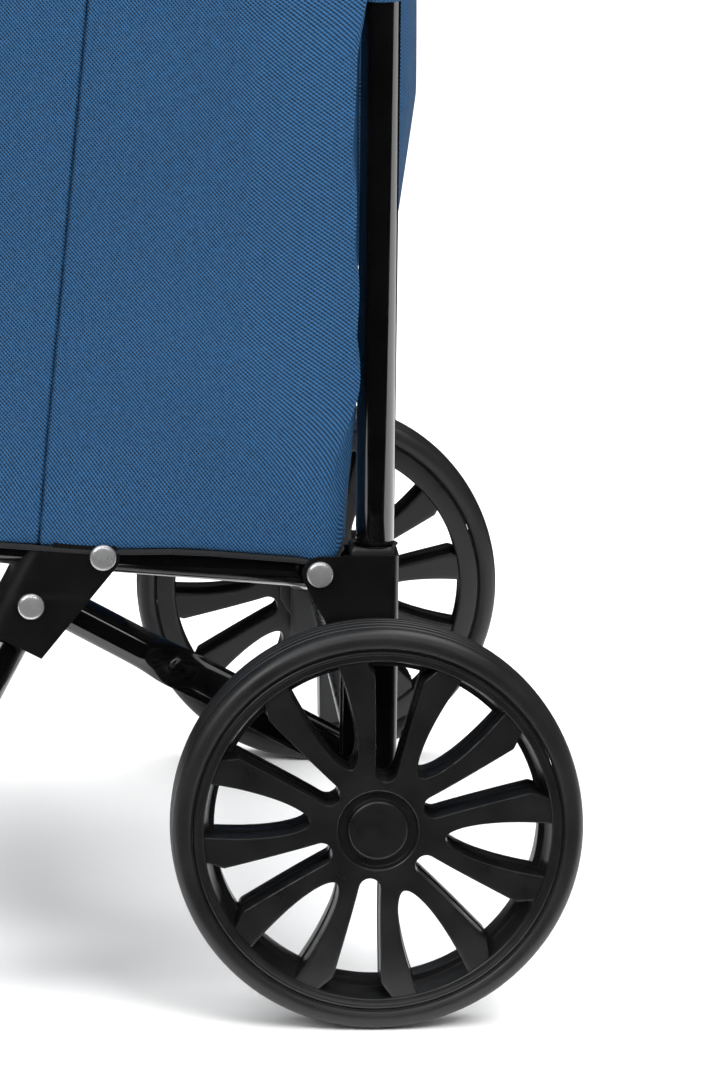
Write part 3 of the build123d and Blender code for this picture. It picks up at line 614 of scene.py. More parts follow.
class Finishes:
    """Every material of the trolley, made once."""

    def __init__(self) -> None:
        """Builds all finishes."""
        black, soot = (0.0010, 0.0010, 0.0011), (0.0018, 0.0018, 0.0020)
        self.gloss_black = Surface(
            "gloss black paint", black, soot, (0.08, 0.16), 900.0, 0.002 * MM, coat=0.5,
            coat_rough=0.06, dust=0.04).make()
        self.satin_black = Surface(
            "satin black sheet", (0.0022, 0.0022, 0.0023), (0.0034, 0.0034, 0.0036), (0.28, 0.38),
            1100.0, 0.005 * MM, coat=0.2, coat_rough=0.2, dust=0.06).make()
        self.rivet = Surface(
            "bright rivet", (0.62, 0.62, 0.63), (0.50, 0.50, 0.51), (0.24, 0.34), 300.0,
            0.0006 * MM, metallic=0.82, patch=200.0).make()
        self.steel = Surface(
            "zinc steel", (0.55, 0.56, 0.58), (0.42, 0.43, 0.45), (0.22, 0.38), 700.0,
            0.006 * MM, metallic=1.0, patch=120.0, stretch=(0.15, 1.0, 1.0)).make()
        self.rubber = Surface(
            "tyre rubber", (0.0062, 0.0062, 0.0063), (0.0096, 0.0096, 0.0098), (0.36, 0.50), 900.0,
            0.012 * MM, patch=40.0, specular=0.45, dust=0.10).make()
        self.rim = Surface(
            "moulded black plastic", (0.0044, 0.0044, 0.0045), (0.0070, 0.0070, 0.0072), (0.26, 0.42),
            1300.0, 0.006 * MM, patch=70.0, dust=0.08).make()
        self.cap = Surface(
            "hub cap plastic", (0.0044, 0.0044, 0.0046), (0.0072, 0.0072, 0.0074), (0.24, 0.40), 500.0,
            0.003 * MM, patch=120.0).make()
        self.collar = Surface(
            "collar plastic", (0.006, 0.006, 0.0065), (0.010, 0.010, 0.0105), (0.38, 0.52), 1500.0,
            0.02 * MM).make()
        self.foot = Surface(
            "foot rubber", (0.010, 0.010, 0.010), (0.016, 0.016, 0.016), (0.55, 0.72), 1500.0,
            0.03 * MM, dust=0.15).make()
        self.bush = Surface(
            "bush plastic", (0.012, 0.012, 0.013), (0.02, 0.02, 0.021), (0.38, 0.5), 900.0,
            0.01 * MM).make()
        self.foam = Surface(
            "grip foam", (0.009, 0.009, 0.0095), (0.016, 0.016, 0.0165), (0.72, 0.9), 1300.0,
            0.12 * MM, patch=300.0, specular=0.35).make()
        self.board = Surface(
            "board plastic", (0.02, 0.02, 0.021), (0.028, 0.028, 0.03), (0.5, 0.65), 1200.0,
            0.05 * MM).make()
        # Each cloth's low colour is painted shade in the gaps of its weave, and its high colour painted light
        # on the thread crowns.
        self.blue = Cloth(
            "blue basket cloth", (0.0185, 0.097, 0.230), (0.0001, 0.001, 0.004), 0.82 * MM,
            relief=0.34 * MM, sheen=0.02).make()
        self.lining = Cloth(
            "lining cloth", (0.035, 0.036, 0.038), (0.018, 0.018, 0.02), 0.9 * MM, sheen=0.1).make()
        self.webbing = Cloth(
            "black webbing", (0.016, 0.016, 0.017), (0.006, 0.006, 0.0065), 1.8 * MM,
            Weave.RIBBED, relief=0.3 * MM, sheen=0.1).make()
        self.piping = Cloth(
            "black piping", (0.014, 0.014, 0.015), (0.006, 0.006, 0.0065), 0.8 * MM,
            Weave.RIBBED, relief=0.08 * MM, sheen=0.1).make()


FINISH = Finishes()


def place(piece: bpy.types.Object, body: str, slot: str, *nodes: str) -> bpy.types.Object:
    """Rides a piece on its body and hides the CAD nodes that it stands for."""
    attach(piece, body)
    if nodes:
        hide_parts(*nodes)
    log.info("%s: %d faces, on %s", piece.name, len(piece.data.polygons), body)
    return piece


def dress(node: str, finish: bpy.types.Material) -> None:
    """Gives a carried-over CAD node its finish."""
    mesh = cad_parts[node].data
    mesh.materials.clear()
    mesh.materials.append(finish)
    log.info("%s: kept from the frame", node)


# ---- wheels ----------------------------------------------------------------
@dataclass(frozen=True)
class Wheel:
    """One wheel: tyre, moulded rim with its spokes in pairs, hub cap."""

    side: Side
    radius: float = 85.0 * MM
    seat: float = 76.0 * MM
    tyre_half: float = 14.0 * MM
    tread_half: float = 9.5 * MM
    rim_half: float = 13.0 * MM
    ring_front: float = 71.9 * MM
    ring_mid: float = 69.0 * MM
    ring_back: float = 66.8 * MM
    spoke_half: float = 11.6 * MM
    spoke_end: float = 73.6 * MM
    pairs: int = 6
    turn: float = math.radians(22.9)
    slot_tip: float = 20.6 * MM
    slot_round: float = 4.5 * MM
    kink: float = 64.2 * MM
    kink_half: float = 9.9 * MM
    flare_half: float = 18.6 * MM
    drop_tip: float = 28.0 * MM
    drop_half: float = 11.3 * MM
    drop_power: float = 1.8
    cap: float = 17.3 * MM
    button: float = 12.4 * MM
    boss: float = 18.6 * MM
    boss_end: float = 15.0 * MM
    boss_bore: float = 8.2 * MM
    edge: float = 0.55 * MM
    groove_lines: tuple[float, ...] = (-6.6 * MM, -2.2 * MM, 2.2 * MM, 6.6 * MM)
    groove_half: float = 0.42 * MM
    groove_deep: float = 0.7 * MM
    crown: float = 0.45 * MM
    rows: int = 56
    steps: int = 144
    hub_steps: int = 96

    @property
    def place(self) -> Vector:
        """The wheel's middle."""
        return Vector((self.side.value * PLACES.wheel_x, PLACES.axle.y, PLACES.axle.z))

    def tyre_profile(self) -> Array:
        """The tyre's section: a flat tread with four fine grooves, round shoulders, full side walls."""
        tread, half, top = self.tread_half, self.tyre_half, self.radius
        line = np.linspace(-tread, tread, 90)
        grooves = bell(line[:, None] - np.array(self.groove_lines), self.groove_half).sum(axis=1)
        radius = top - self.crown * (line / tread) ** 2 - self.groove_deep * grooves
        tread_line = np.stack((radius, line), axis=1)
        angle = np.linspace(0, math.pi / 2, 12)[1:]
        bulge = half - tread
        edge = top - self.crown
        shoulder = np.stack((edge - bulge * (1 - np.cos(angle)), tread + bulge * np.sin(angle)), axis=1)
        corners = (
            (shoulder[-1, 0], half), (79.0 * MM, half - 0.1 * MM), (77.2 * MM, half - 0.9 * MM),
            (76.55 * MM, half - 2.0 * MM), (76.1 * MM, half - 2.2 * MM),
        )
        wall = softened(corners, 1.4 * MM)[1:]
        front = np.concatenate((tread_line, shoulder, wall))
        back = np.concatenate((shoulder, wall))[::-1] * (1, -1)
        return np.concatenate((back, front, back[:1]))

    def ring_profile(self) -> Array:
        """The rim's hoop: a front lip, an inner face that draws in to a step, then the back half."""
        half, seat = self.rim_half, self.seat
        corners = (
            (seat - 1.0 * MM, 0.0), (seat, half - 1.2 * MM), (seat - 0.5 * MM, half - 0.1 * MM),
            (74.6 * MM, half), (74.2 * MM, half - 0.25 * MM), (73.8 * MM, half - 0.2 * MM),
            (self.ring_front, half - 0.3 * MM), (self.ring_front - 0.5 * MM, half - 1.2 * MM),
            (70.4 * MM, 6.0 * MM), (self.ring_mid, 1.6 * MM),
            (self.ring_mid + 0.5 * MM, 0.9 * MM), (self.ring_mid + 0.4 * MM, 0.3 * MM),
            (self.ring_back, 0.1 * MM), (self.ring_back + 0.2 * MM, -half + 1.2 * MM),
            (self.ring_back + 1.0 * MM, -half), (seat - 0.5 * MM, -half), (seat, -half + 0.6 * MM),
            (seat - 1.0 * MM, 0.0),
        )
        return softened(corners, 0.7 * MM)

    def slot_edge(self) -> Array:
        """Half the outline of a slot: a round tip, a straight flare, then a kink out to the ring."""
        centre, r = self.slot_tip + self.slot_round, self.slot_round
        angle = np.linspace(math.pi, math.pi * 0.54, 22)
        tip = np.stack((centre + r * np.cos(angle), r * np.sin(angle)), axis=1)
        along = np.linspace(0.04, 1, 40)
        flare = r * 1.01 + (self.kink_half - r) * along ** 1.12
        side = np.stack((centre + (self.kink - centre) * along, flare), axis=1)
        out = np.linspace(0, 1, 18)[1:]
        kick = np.stack((self.kink + (self.spoke_end - self.kink) * out,
                         self.kink_half + (self.flare_half - self.kink_half) * out), axis=1)
        return self.even(np.concatenate((tip, side, kick)))

    def drop_edge(self) -> Array:
        """Half the outline of a teardrop: a quarter of a rounded box, power 1.8."""
        angle = np.linspace(0, math.pi / 2, 90)
        power = 2 / self.drop_power
        share = 1 - np.cos(angle) ** power
        return self.even(np.stack((self.drop_tip + (self.spoke_end - self.drop_tip) * share,
                                   self.drop_half * np.sin(angle) ** power), axis=1))

    def even(self, line: Array) -> Array:
        """The same line in rows that are evenly spaced along it."""
        travel = distances(line)
        wanted = np.linspace(0, travel[-1], self.rows)
        return np.stack([np.interp(wanted, travel, line[:, k]) for k in range(2)], axis=1)

    @staticmethod
    def off(line: Array) -> Array:
        """Unit vectors from a window's half outline into the plastic beside it."""
        along = np.gradient(line, axis=0)
        along /= np.linalg.norm(along, axis=1)[:, None]
        out = np.stack((-along[:, 1], along[:, 0]), axis=1)
        out[0] = (-1.0, 0.0)
        out[1] = (out[1] + out[0]) / np.linalg.norm(out[1] + out[0])
        return out

    def wall_steps(self) -> Array:
        """The window wall from front to back: (into the plastic, height), with a parting groove."""
        h, f = self.spoke_half, self.edge
        arc = np.linspace(0, math.pi / 2, 4)
        front = np.stack((f * (1 - np.sin(arc)), h - f * (1 - np.cos(arc))), axis=1)
        middle_line = np.array(((-0.25, 0.62), (-0.15, 0.38), (0.42, 0.3), (0.42, -0.3), (-0.55, -0.38),
                                (-0.62, -0.8))) * MM
        return np.concatenate((front, middle_line, front[::-1] * (1, -1)))

    def to_space(self, flat: Array, height: Array | float) -> Array:
        """Points of the wheel's own plane, and their distance out, in the trolley's frame."""
        x = self.place.x + self.side.value * height
        return points_of(x, self.place.y + flat[..., 0], self.place.z + flat[..., 1])

    @staticmethod
    def rotate(line: Array, angle: float) -> Array:
        """Points of a plane turned by an angle."""
        sin, cos = math.sin(angle), math.cos(angle)
        a, b = line[..., 0], line[..., 1]
        return np.stack((a * cos - b * sin, a * sin + b * cos), axis=-1)

    def half_spoke(self, skin: Skin, slot_at: float, sign: int) -> None:
        """One spoke with its share of the hub face, between a slot's axis and a teardrop's.

        The faces are ruled between the two half outlines, and each wall is the stepped
        profile carried along its outline.
        """
        drop_at = slot_at + sign * math.pi / self.pairs
        edges = []
        for line, at, flip in ((self.slot_edge(), slot_at, sign), (self.drop_edge(), drop_at, -sign)):
            both = (line * (1, flip), self.off(line) * (1, flip))
            edges.append(tuple(self.rotate(part, at) for part in both))
        way = np.linspace(0, 1, 9)
        share = way[None, :, None]
        round_hub = slot_at + (drop_at - slot_at) * way
        for height, hub in ((self.spoke_half, self.cap), (-self.spoke_half, self.boss)):
            first, second = (edge + out * self.edge for edge, out in edges)
            ruled = first[:, None] * (1 - share) + second[:, None] * share
            circle = hub * np.stack((np.cos(round_hub), np.sin(round_hub)), axis=1)[None]
            between = (circle + ruled[:1]) / 2
            skin.grid(self.to_space(np.concatenate((circle, between, ruled)), height))
        steps = self.wall_steps()
        for edge, out in edges:
            wall = edge[:, None] + out[:, None] * steps[None, :, :1]
            skin.grid(self.to_space(wall, steps[None, :, 1]))

    def hub_back(self) -> Array:
        """The hub's inner boss, behind the spokes."""
        back = -self.boss_end
        corners = (
            (self.boss, -self.spoke_half), (self.boss - 0.3 * MM, back + 0.8 * MM),
            (self.boss - 1.0 * MM, back), (self.boss_bore, back), (self.boss_bore, back + 5.0 * MM),
        )
        return softened(corners, 0.5 * MM)

    def cap_profile(self) -> Array:
        """The hub cap: a raised button inside a recessed ring."""
        h, button, rim = self.spoke_half, self.button, self.cap
        corners = (
            (0.0, h + 0.5 * MM), (button * 0.6, h + 0.42 * MM), (button - 0.7 * MM, h + 0.2 * MM),
            (button, h - 0.5 * MM), (button + 0.3 * MM, h - 2.6 * MM), (rim - 1.5 * MM, h - 2.6 * MM),
            (rim - 0.7 * MM, h - 0.3 * MM), (rim, h + 0.12 * MM), (rim + 0.1 * MM, h - 1.4 * MM),
        )
        return softened(corners, 0.45 * MM)

    def build(self) -> None:
        """Makes the tyre, the rim and the cap, and rides them on the wheel's body."""
        body, tag = "wheel_" + self.side.tag, self.side.tag
        tread = turned(self.tyre_profile(), self.place, self.side, self.steps)
        tyre = Skin().grid(tread).build("rubber_tyre_" + tag, [FINISH.rubber], 45)
        place(tyre, body, "tyre_rubber", "tyre_" + tag)
        skin = Skin().grid(turned(self.ring_profile(), self.place, self.side, self.steps))
        for pair in range(self.pairs):
            for sign in (1, -1):
                self.half_spoke(skin, self.turn + pair * TAU / self.pairs, sign)
        skin.grid(turned(self.hub_back(), self.place, self.side, self.hub_steps))
        rim = skin.build("spoked_rim_" + tag, [FINISH.rim], 30)
        place(rim, body, "rim_plastic", "rim_" + tag)
        dish = turned(self.cap_profile(), self.place, self.side, self.hub_steps)
        cap = Skin().grid(dish).build("dished_hub_cap_" + tag, [FINISH.cap], 35, closed=False)
        place(cap, body, "rim_plastic", "hub_cap_" + tag)
        dress("wheel_bush_" + tag, FINISH.bush)


# ---- rear frame ------------------------------------------------------------
@dataclass(frozen=True)
class Rivet:
    """A domed rivet head pressed on a washer-like rim, and its shank."""

    radius: float = 5.45 * MM
    height: float = 2.6 * MM
    shank_radius: float = 3.0 * MM
    sweep: float = 0.93
    dome_share: float = 0.985

    def profile(self) -> Array:
        """The head: a short upright rim, a soft shoulder and a shallow dome.

        The dome's radius goes with the sine of an angle, and its height with a power of
        the angle's cosine.
        """
        angle = np.linspace(0, math.pi / 2, 14)
        reach = self.radius * self.dome_share / math.sin(self.sweep * math.pi / 2)
        height = self.height * (0.30 + 0.62 * np.cos(angle) ** 0.8)
        dome = np.stack((reach * np.sin(angle * self.sweep), height), axis=1)
        rim = np.array(((self.radius, self.height * 0.22), (self.radius, 0.0),
                        (self.radius / 2, -0.1 * MM)))
        return np.concatenate((dome, rim))

    def head(self, skin: Skin, x: float, pivot: Vector, out: Side) -> None:
        """Adds one head on a face at x."""
        skin.grid(turned(self.profile(), Vector((x, pivot.y, pivot.z)), out, 40))

    def shank(self, skin: Skin, x: float, pivot: Vector, half: float) -> None:
        """Adds the shank, half its length each way from x."""
        r = self.shank_radius
        line = np.array(((0.0, -half), (r, -half), (r, half), (0.0, half)))
        skin.grid(turned(line, Vector((x, pivot.y, pivot.z)), Side.LEFT, 24))


def rivets(name: str, node: str, pivot: Vector, body: str, heads_in: bool) -> None:
    """The rivets of one pivot, on both sides of the trolley.

    Args:
        name: The piece's name.
        node: The CAD node that it stands for.
        pivot: A point on the pivot's axis.
        body: The body that it rides on.
        heads_in: Whether the channel's inner face has heads too.
    """
    maker, skin, half = Rivet(), Skin(), PLACES.channel_half
    for side, inward in ((Side.LEFT, Side.RIGHT), (Side.RIGHT, Side.LEFT)):
        x = side.value * PLACES.upright_x
        maker.head(skin, x + side.value * half, pivot, side)
        if heads_in:
            maker.head(skin, x - side.value * half, pivot, inward)
        maker.shank(skin, x, pivot, half - 0.05 * MM)
    place(skin.build(name, [FINISH.rivet], 45), body, "bright_steel", node)


@dataclass(frozen=True)
class RearFrame:
    """Upright tube with its handle, crossbars, channels, collars and the axle."""

    handle_z: float = 985.0 * MM
    foot_z: float = 70.0 * MM
    bend: float = 62.0 * MM
    crossbar: float = 6.0 * MM
    grip_half: float = 115.0 * MM
    grip_radius: float = 14.5 * MM
    ear: float = 7.3 * MM
    ear_drop: float = 35.0 * MM
    channel_back: float = -9.5 * MM
    channel_front: float = 13.0 * MM
    channel_top: float = 193.3 * MM
    channel_foot: float = 62.0 * MM
    corner: float = 2.6 * MM
    grip_swell: float = 0.045
    grip_shoulder: float = 0.955
    grip_end: float = 0.046
    ring_height: float = 0.35 * MM
    ring_count: int = 14
    collar_square: float = 0.22

    def tubes(self) -> None:
        """The upright tube and the two crossbars."""
        x, y = PLACES.upright_x, PLACES.axle.y
        path = rounded_path(((x, y, self.foot_z), (x, y, self.handle_z), (-x, y, self.handle_z),
                             (-x, y, self.foot_z)), self.bend, 20)
        tube = pipe(path, PLACES.tube, PLACES.wall, (0, 1, 0), 40)
        upright = Skin().grid(tube).build("painted_upright_tube", [FINISH.gloss_black], 45)
        place(upright, "frame", "black_tube", "upright_tube")
        reach = x - PLACES.tube + PLACES.wall
        for name in ("lower_crossbar", "upper_crossbar"):
            z = middle(name).z
            line = np.linspace((-reach, y, z), (reach, y, z), 5)
            bar = Skin().grid(pipe(line, self.crossbar, PLACES.wall, (0, 1, 0), 32))
            place(bar.build("painted_" + name, [FINISH.gloss_black], 45), "frame", "black_tube", name)

    def grip(self) -> None:
        """The foam sleeve: full in the middle, drawn in at its ends, with shallow finger rings."""
        along = np.linspace(-1, 1, 161)
        past = np.clip(np.abs(along) - self.grip_shoulder, 0, None)
        end = np.sqrt(np.clip(1 - (past / self.grip_end) ** 2, 0, 1))
        fade = smooth(0.9 - np.abs(along), 0, 0.12)
        rings = self.ring_height * np.cos(TAU * along * self.ring_count) * fade
        full = 1 - self.grip_swell + self.grip_swell * np.cos(along * math.pi)
        radius = (self.grip_radius - 0.8 * MM) * full + rings
        outer = np.stack((PLACES.tube + (radius - PLACES.tube) * end, along * self.grip_half), axis=1)
        bore = PLACES.tube + 0.02 * MM
        inner = np.array(((bore, self.grip_half), (bore, -self.grip_half)))
        profile = np.concatenate((outer, inner, outer[:1]))
        centre = Vector((0, PLACES.axle.y, self.handle_z))
        sleeve = Skin().grid(turned(profile, centre, Side.LEFT, 64)).build("foam_grip", [FINISH.foam], 60)
        place(sleeve, "frame", "grip_foam", "handle_grip")

    def front_edge(self, z: Array) -> Array:
        """How far ahead of the axle the channel's flange reaches at a height.

        Straight up to the ear's foot, a straight line to where it meets the ear's circle,
        round that circle, and back to the straight edge above it.
        """
        ear_ahead, ear_z = PLACES.axle.y - PLACES.main.y, PLACES.main.z
        low = ear_z - self.ear_drop
        gap = math.hypot(ear_ahead - self.channel_front, self.ear_drop)
        lean = math.atan2(ear_ahead - self.channel_front, self.ear_drop) + math.asin(self.ear / gap)
        touch_z = ear_z - self.ear * math.sin(lean)
        touch = ear_ahead + self.ear * math.cos(lean)
        climb = np.clip((z - low) / (touch_z - low), 0, 1)
        slope = self.channel_front + (touch - self.channel_front) * climb
        circle = ear_ahead + np.sqrt(np.clip(self.ear ** 2 - (z - ear_z) ** 2, 0, None))
        edge = np.where(z < touch_z, slope, circle)
        return np.where(z > ear_z + self.ear - HAIR / 2, self.channel_front, edge)

    def channel(self, side: Side) -> None:
        """The folded channel: flange, round corner, web, round corner, flange, at every height."""
        low, ear_z = self.channel_foot, PLACES.main.z
        sweep_up = ear_z + self.ear * np.sin(np.linspace(-math.pi / 2, math.pi / 2, 33))
        z = np.concatenate((np.linspace(low, ear_z - self.ear_drop, 10), sweep_up[4:-1],
                            [ear_z + self.ear - HAIR, ear_z + self.ear, self.channel_top]))
        half = PLACES.channel_half - PLACES.sheet / 2
        back = self.channel_back + PLACES.sheet / 2
        front = self.front_edge(z)
        r = self.corner
        flat_steps, bend_steps = 12, 6
        angle = np.linspace(0, math.pi / 2, bend_steps + 1)[1:]
        share = np.linspace(1, 0, flat_steps)
        flange = back + r + (front[:, None] - back - r) * share
        bend = np.broadcast_to(back + r - r * np.sin(angle), (len(z), bend_steps))
        ahead = np.concatenate((flange, bend), axis=1)
        ahead = np.concatenate((ahead, ahead[:, ::-1]), axis=1)
        half_x = np.concatenate((np.full(flat_steps, half), half - r + r * np.cos(angle)))
        across = np.concatenate((half_x, -half_x[::-1]))
        x = side.value * (PLACES.upright_x + across)
        points = points_of(x, PLACES.axle.y - ahead, z[:, None])
        piece = Skin().grid(points).build(
            "folded_channel_" + side.tag, [FINISH.satin_black], 40, closed=False)
        thicken(piece, PLACES.sheet, 0.35 * MM)
        place(piece, "frame", "black_sheet", "axle_channel_" + side.tag)

    def collar(self, side: Side) -> None:
        """The moulded collar: a block with round edges, and a chamfered bore for the tube.

        Its plan is a rounded square: cosine and sine, each pressed by a power.
        """
        low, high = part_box("channel_collar_" + side.tag)
        centre, half = (low + high) / 2, (high - low) / 2
        angle = np.linspace(0, TAU, 81)
        cos, sin = np.cos(angle), np.sin(angle)
        block = softened(((1.0, 0.0), (1.0, 0.87), (0.97, 0.96), (0.88, 1.0)), 0.03, 3)
        bore = ((9.6 * MM, 1.0), (8.6 * MM, 0.985), (PLACES.bore, 0.95), (PLACES.bore, 0.0))
        rows = []
        for size, level in block:
            x = centre.x + half.x * size * squared(cos, self.collar_square)
            y = centre.y + half.y * size * squared(sin, self.collar_square)
            rows.append(points_of(x, y, low.z + (high.z - low.z) * level))
        for radius, level in bore:
            x = side.value * PLACES.upright_x + radius * cos
            y = PLACES.axle.y + radius * sin
            rows.append(points_of(x, y, low.z + (high.z - low.z) * level))
        rows.append(rows[0])
        piece = Skin().grid(np.array(rows)).build("moulded_collar_" + side.tag, [FINISH.collar], 40)
        place(piece, "frame", "collar_plastic", "channel_collar_" + side.tag)

    def build(self) -> None:
        """Makes the whole rear frame."""
        self.tubes()
        self.grip()
        for side in Side:
            self.channel(side)
            self.collar(side)
        rivets("pivot_rivets", "main_rivets", PLACES.main, "frame", True)
        for node in ("axle", "axle_washers", "axle_clips", "brace_rivets"):
            dress(node, FINISH.rivet if node == "brace_rivets" else FINISH.steel)
        for side in Side:
            dress("brace_spacer_" + side.tag, FINISH.steel)


# ---- platform and stand ----------------------------------------------------
@dataclass(frozen=True)
class Platform:
    """The folding platform: its U tube, slats, board, leg brackets and stand leg."""

    length: float = 226.0 * MM
    bend: float = 40.0 * MM
    tail: float = 8.5 * MM
    leg_tail: float = 7.5 * MM
    leg_bend: float = 38.0 * MM
    sole: float = 4.0 * MM
    web: float = 14.0 * MM
    rear: float = 14.0 * MM
    reach: float = 17.8 * MM
    lobe: float = 7.0 * MM
    cut: float = 0.86
    press: float = 0.55 * MM
    press_low: float = 3.0 * MM
    press_high: float = 4.6 * MM
    foot_square: float = 0.35
    foot_draw: float = 0.07
    foot_rib: float = 0.02

    @property
    def leg_length(self) -> float:
        """From the leg's pivot down to the middle of its foot bar."""
        return (PLACES.leg.z - PLACES.tube - self.sole) / math.cos(LEG.lean)

    @staticmethod
    def hoop(name: str, node: str, body: str, corners: Sequence[Array], bend: float,
             normal: Sequence[float]) -> None:
        """A U of tube with two round bends.

        Args:
            name: The piece's name.
            node: The CAD node that it stands for.
            body: The body that it rides on.
            corners: The four corners of its route.
            bend: The radius of its bends.
            normal: The unit normal of its plane.
        """
        tube = pipe(rounded_path(corners, bend, 20), PLACES.tube, PLACES.wall, normal, 40)
        place(Skin().grid(tube).build(name, [FINISH.gloss_black], 45), body, "black_tube", node)

    def tubes(self) -> None:
        """The platform's tube and the stand's tube."""
        x = PLACES.upright_x
        ends = [PLACES.on_platform(a, 0, s) for a, s in
                ((-self.tail, x), (self.length, x), (self.length, -x), (-self.tail, -x))]
        self.hoop("painted_platform_tube", "platform_tube", "platform", ends, self.bend,
                  (0.0, math.sin(PLACES.rise), math.cos(PLACES.rise)))
        down = self.leg_length
        ends = [LEG.point(d, 0, s) for d, s in
                ((-self.leg_tail, x), (down, x), (down, -x), (-self.leg_tail, -x))]
        self.hoop("painted_stand_tube", "stand_leg", "stand", ends, self.leg_bend,
                  (0.0, -math.cos(LEG.lean), math.sin(LEG.lean)))

    def rear_edge(self, count: int) -> Array:
        """The bracket's rear outline from its foot, up its slant and round its lobe, as (y, z)."""
        foot = LEG.point(self.reach, -self.rear)[1:]
        lobe = np.array((PLACES.bracket.y, PLACES.bracket.z))
        toward = foot - lobe
        gap = np.linalg.norm(toward)
        start = math.atan2(toward[1], toward[0]) + math.acos(self.lobe / gap)
        angle = np.linspace(start, math.pi / 2, count // 2)
        arc = lobe + self.lobe * np.stack((np.cos(angle), np.sin(angle)), axis=1)
        line = foot + (arc[0] - foot) * np.linspace(0, 1, count - count // 2 + 1)[:-1, None]
        return np.concatenate((line, arc))

    def bracket(self, side: Side) -> None:
        """The folded bracket: two flanges joined by a round web ahead of the leg.

        A row goes from the rear outline forward to the web line, round half a circle of
        the bracket's half width, and back along the other flange. Above the cut, where
        the platform tube comes out, the web is left open.
        """
        rows, flat_steps, bend_steps = 40, 16, 19
        rear = self.rear_edge(rows)
        half = PLACES.channel_half - PLACES.sheet / 2
        base = LEG.point(self.reach, self.web - half)[1:]
        climb = (rear[-1, 1] - base[1]) / math.cos(LEG.lean)
        share = np.linspace(0, 1, rows)[:, None]
        up = np.array((math.sin(LEG.lean), math.cos(LEG.lean)))
        front = base + up * climb * share
        across = np.linspace(0, 1, flat_steps)[None, :, None]
        flange = rear[:, None] * (1 - across) + front[:, None] * across
        angle = np.linspace(math.pi / 2, -math.pi / 2, bend_steps + 2)[1:-1]
        ahead = np.array((-math.cos(LEG.lean), math.sin(LEG.lean)))
        web = front[:, None] + ahead * half * np.cos(angle)[None, :, None]
        flat = np.concatenate((flange, web, flange[:, ::-1]), axis=1)
        widths = np.concatenate((np.full(flat_steps, half), half * np.sin(angle), np.full(flat_steps, -half)))
        press = self.press * smooth(
            flat[..., 1], PLACES.leg.z + self.press_low, PLACES.leg.z + self.press_high)
        press = press * (widths > half * 0.98)
        x = side.value * (PLACES.upright_x + widths - press)
        keep = np.ones((rows - 1, flat.shape[1] - 1), bool)
        keep[int(rows * self.cut):, flat_steps - 1:flat_steps + bend_steps + 1] = False
        piece = Skin().grid(points_of(x, flat[..., 0], flat[..., 1]), keep=keep).build(
            "folded_leg_bracket_" + side.tag, [FINISH.satin_black], 40, closed=False)
        thicken(piece, PLACES.sheet, 0.35 * MM)
        place(piece, "stand", "black_sheet", "leg_bracket_" + side.tag)

    def foot(self, side: Side) -> None:
        """The moulded foot: a saddle round the bar that spreads to a flat, ribbed sole.

        Its section goes round the bar as a circle above and as a rounded block below, and
        it draws in a little towards both ends.
        """
        low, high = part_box("foot_pad_" + side.tag)
        centre, half = (low + high) / 2, (high - low) / 2
        bar = LEG.point(self.leg_length, 0)
        angle = np.linspace(0, TAU, 73)
        along = np.linspace(-1, 1, 37)[:, None]
        cos, sin = np.cos(angle), np.sin(angle)
        saddle, sole = high.z - bar[2], bar[2] - low.z
        block = smooth(-sin, -0.25, 0.25)
        y = np.where(sin > 0, saddle * cos, half.y * squared(cos, self.foot_square))
        y = (1 - block) * saddle * cos + block * y
        z = np.where(sin > 0, saddle * sin, -sole * np.abs(sin) ** self.foot_square)
        ribs = np.cos(TAU * along * 4.5) > 0.6
        draw = 1 - self.foot_draw * smooth(np.abs(along), 0.82, 1.0) - self.foot_rib * ribs
        outside = points_of(centre.x + half.x * along, bar[1] + y * draw,
                            np.maximum(low.z, bar[2] + z * draw))
        inside = points_of(centre.x - half.x * along, bar[1] + PLACES.bore * cos,
                           bar[2] + PLACES.bore * sin)
        points = np.concatenate((outside, inside, outside[:1]))
        piece = Skin().grid(points).build("moulded_foot_" + side.tag, [FINISH.foot], 40)
        place(piece, "stand", "foot_rubber", "foot_pad_" + side.tag)

    def build(self) -> None:
        """Makes the platform and the stand."""
        self.tubes()
        for side in Side:
            self.bracket(side)
            self.foot(side)
        rivets("bracket_pivot_rivets", "bracket_rivets", PLACES.bracket, "stand", False)
        rivets("leg_pivot_rivets", "leg_rivets", PLACES.leg, "stand", False)
        dress("platform_slats", FINISH.gloss_black)
        dress("base_board", FINISH.board)


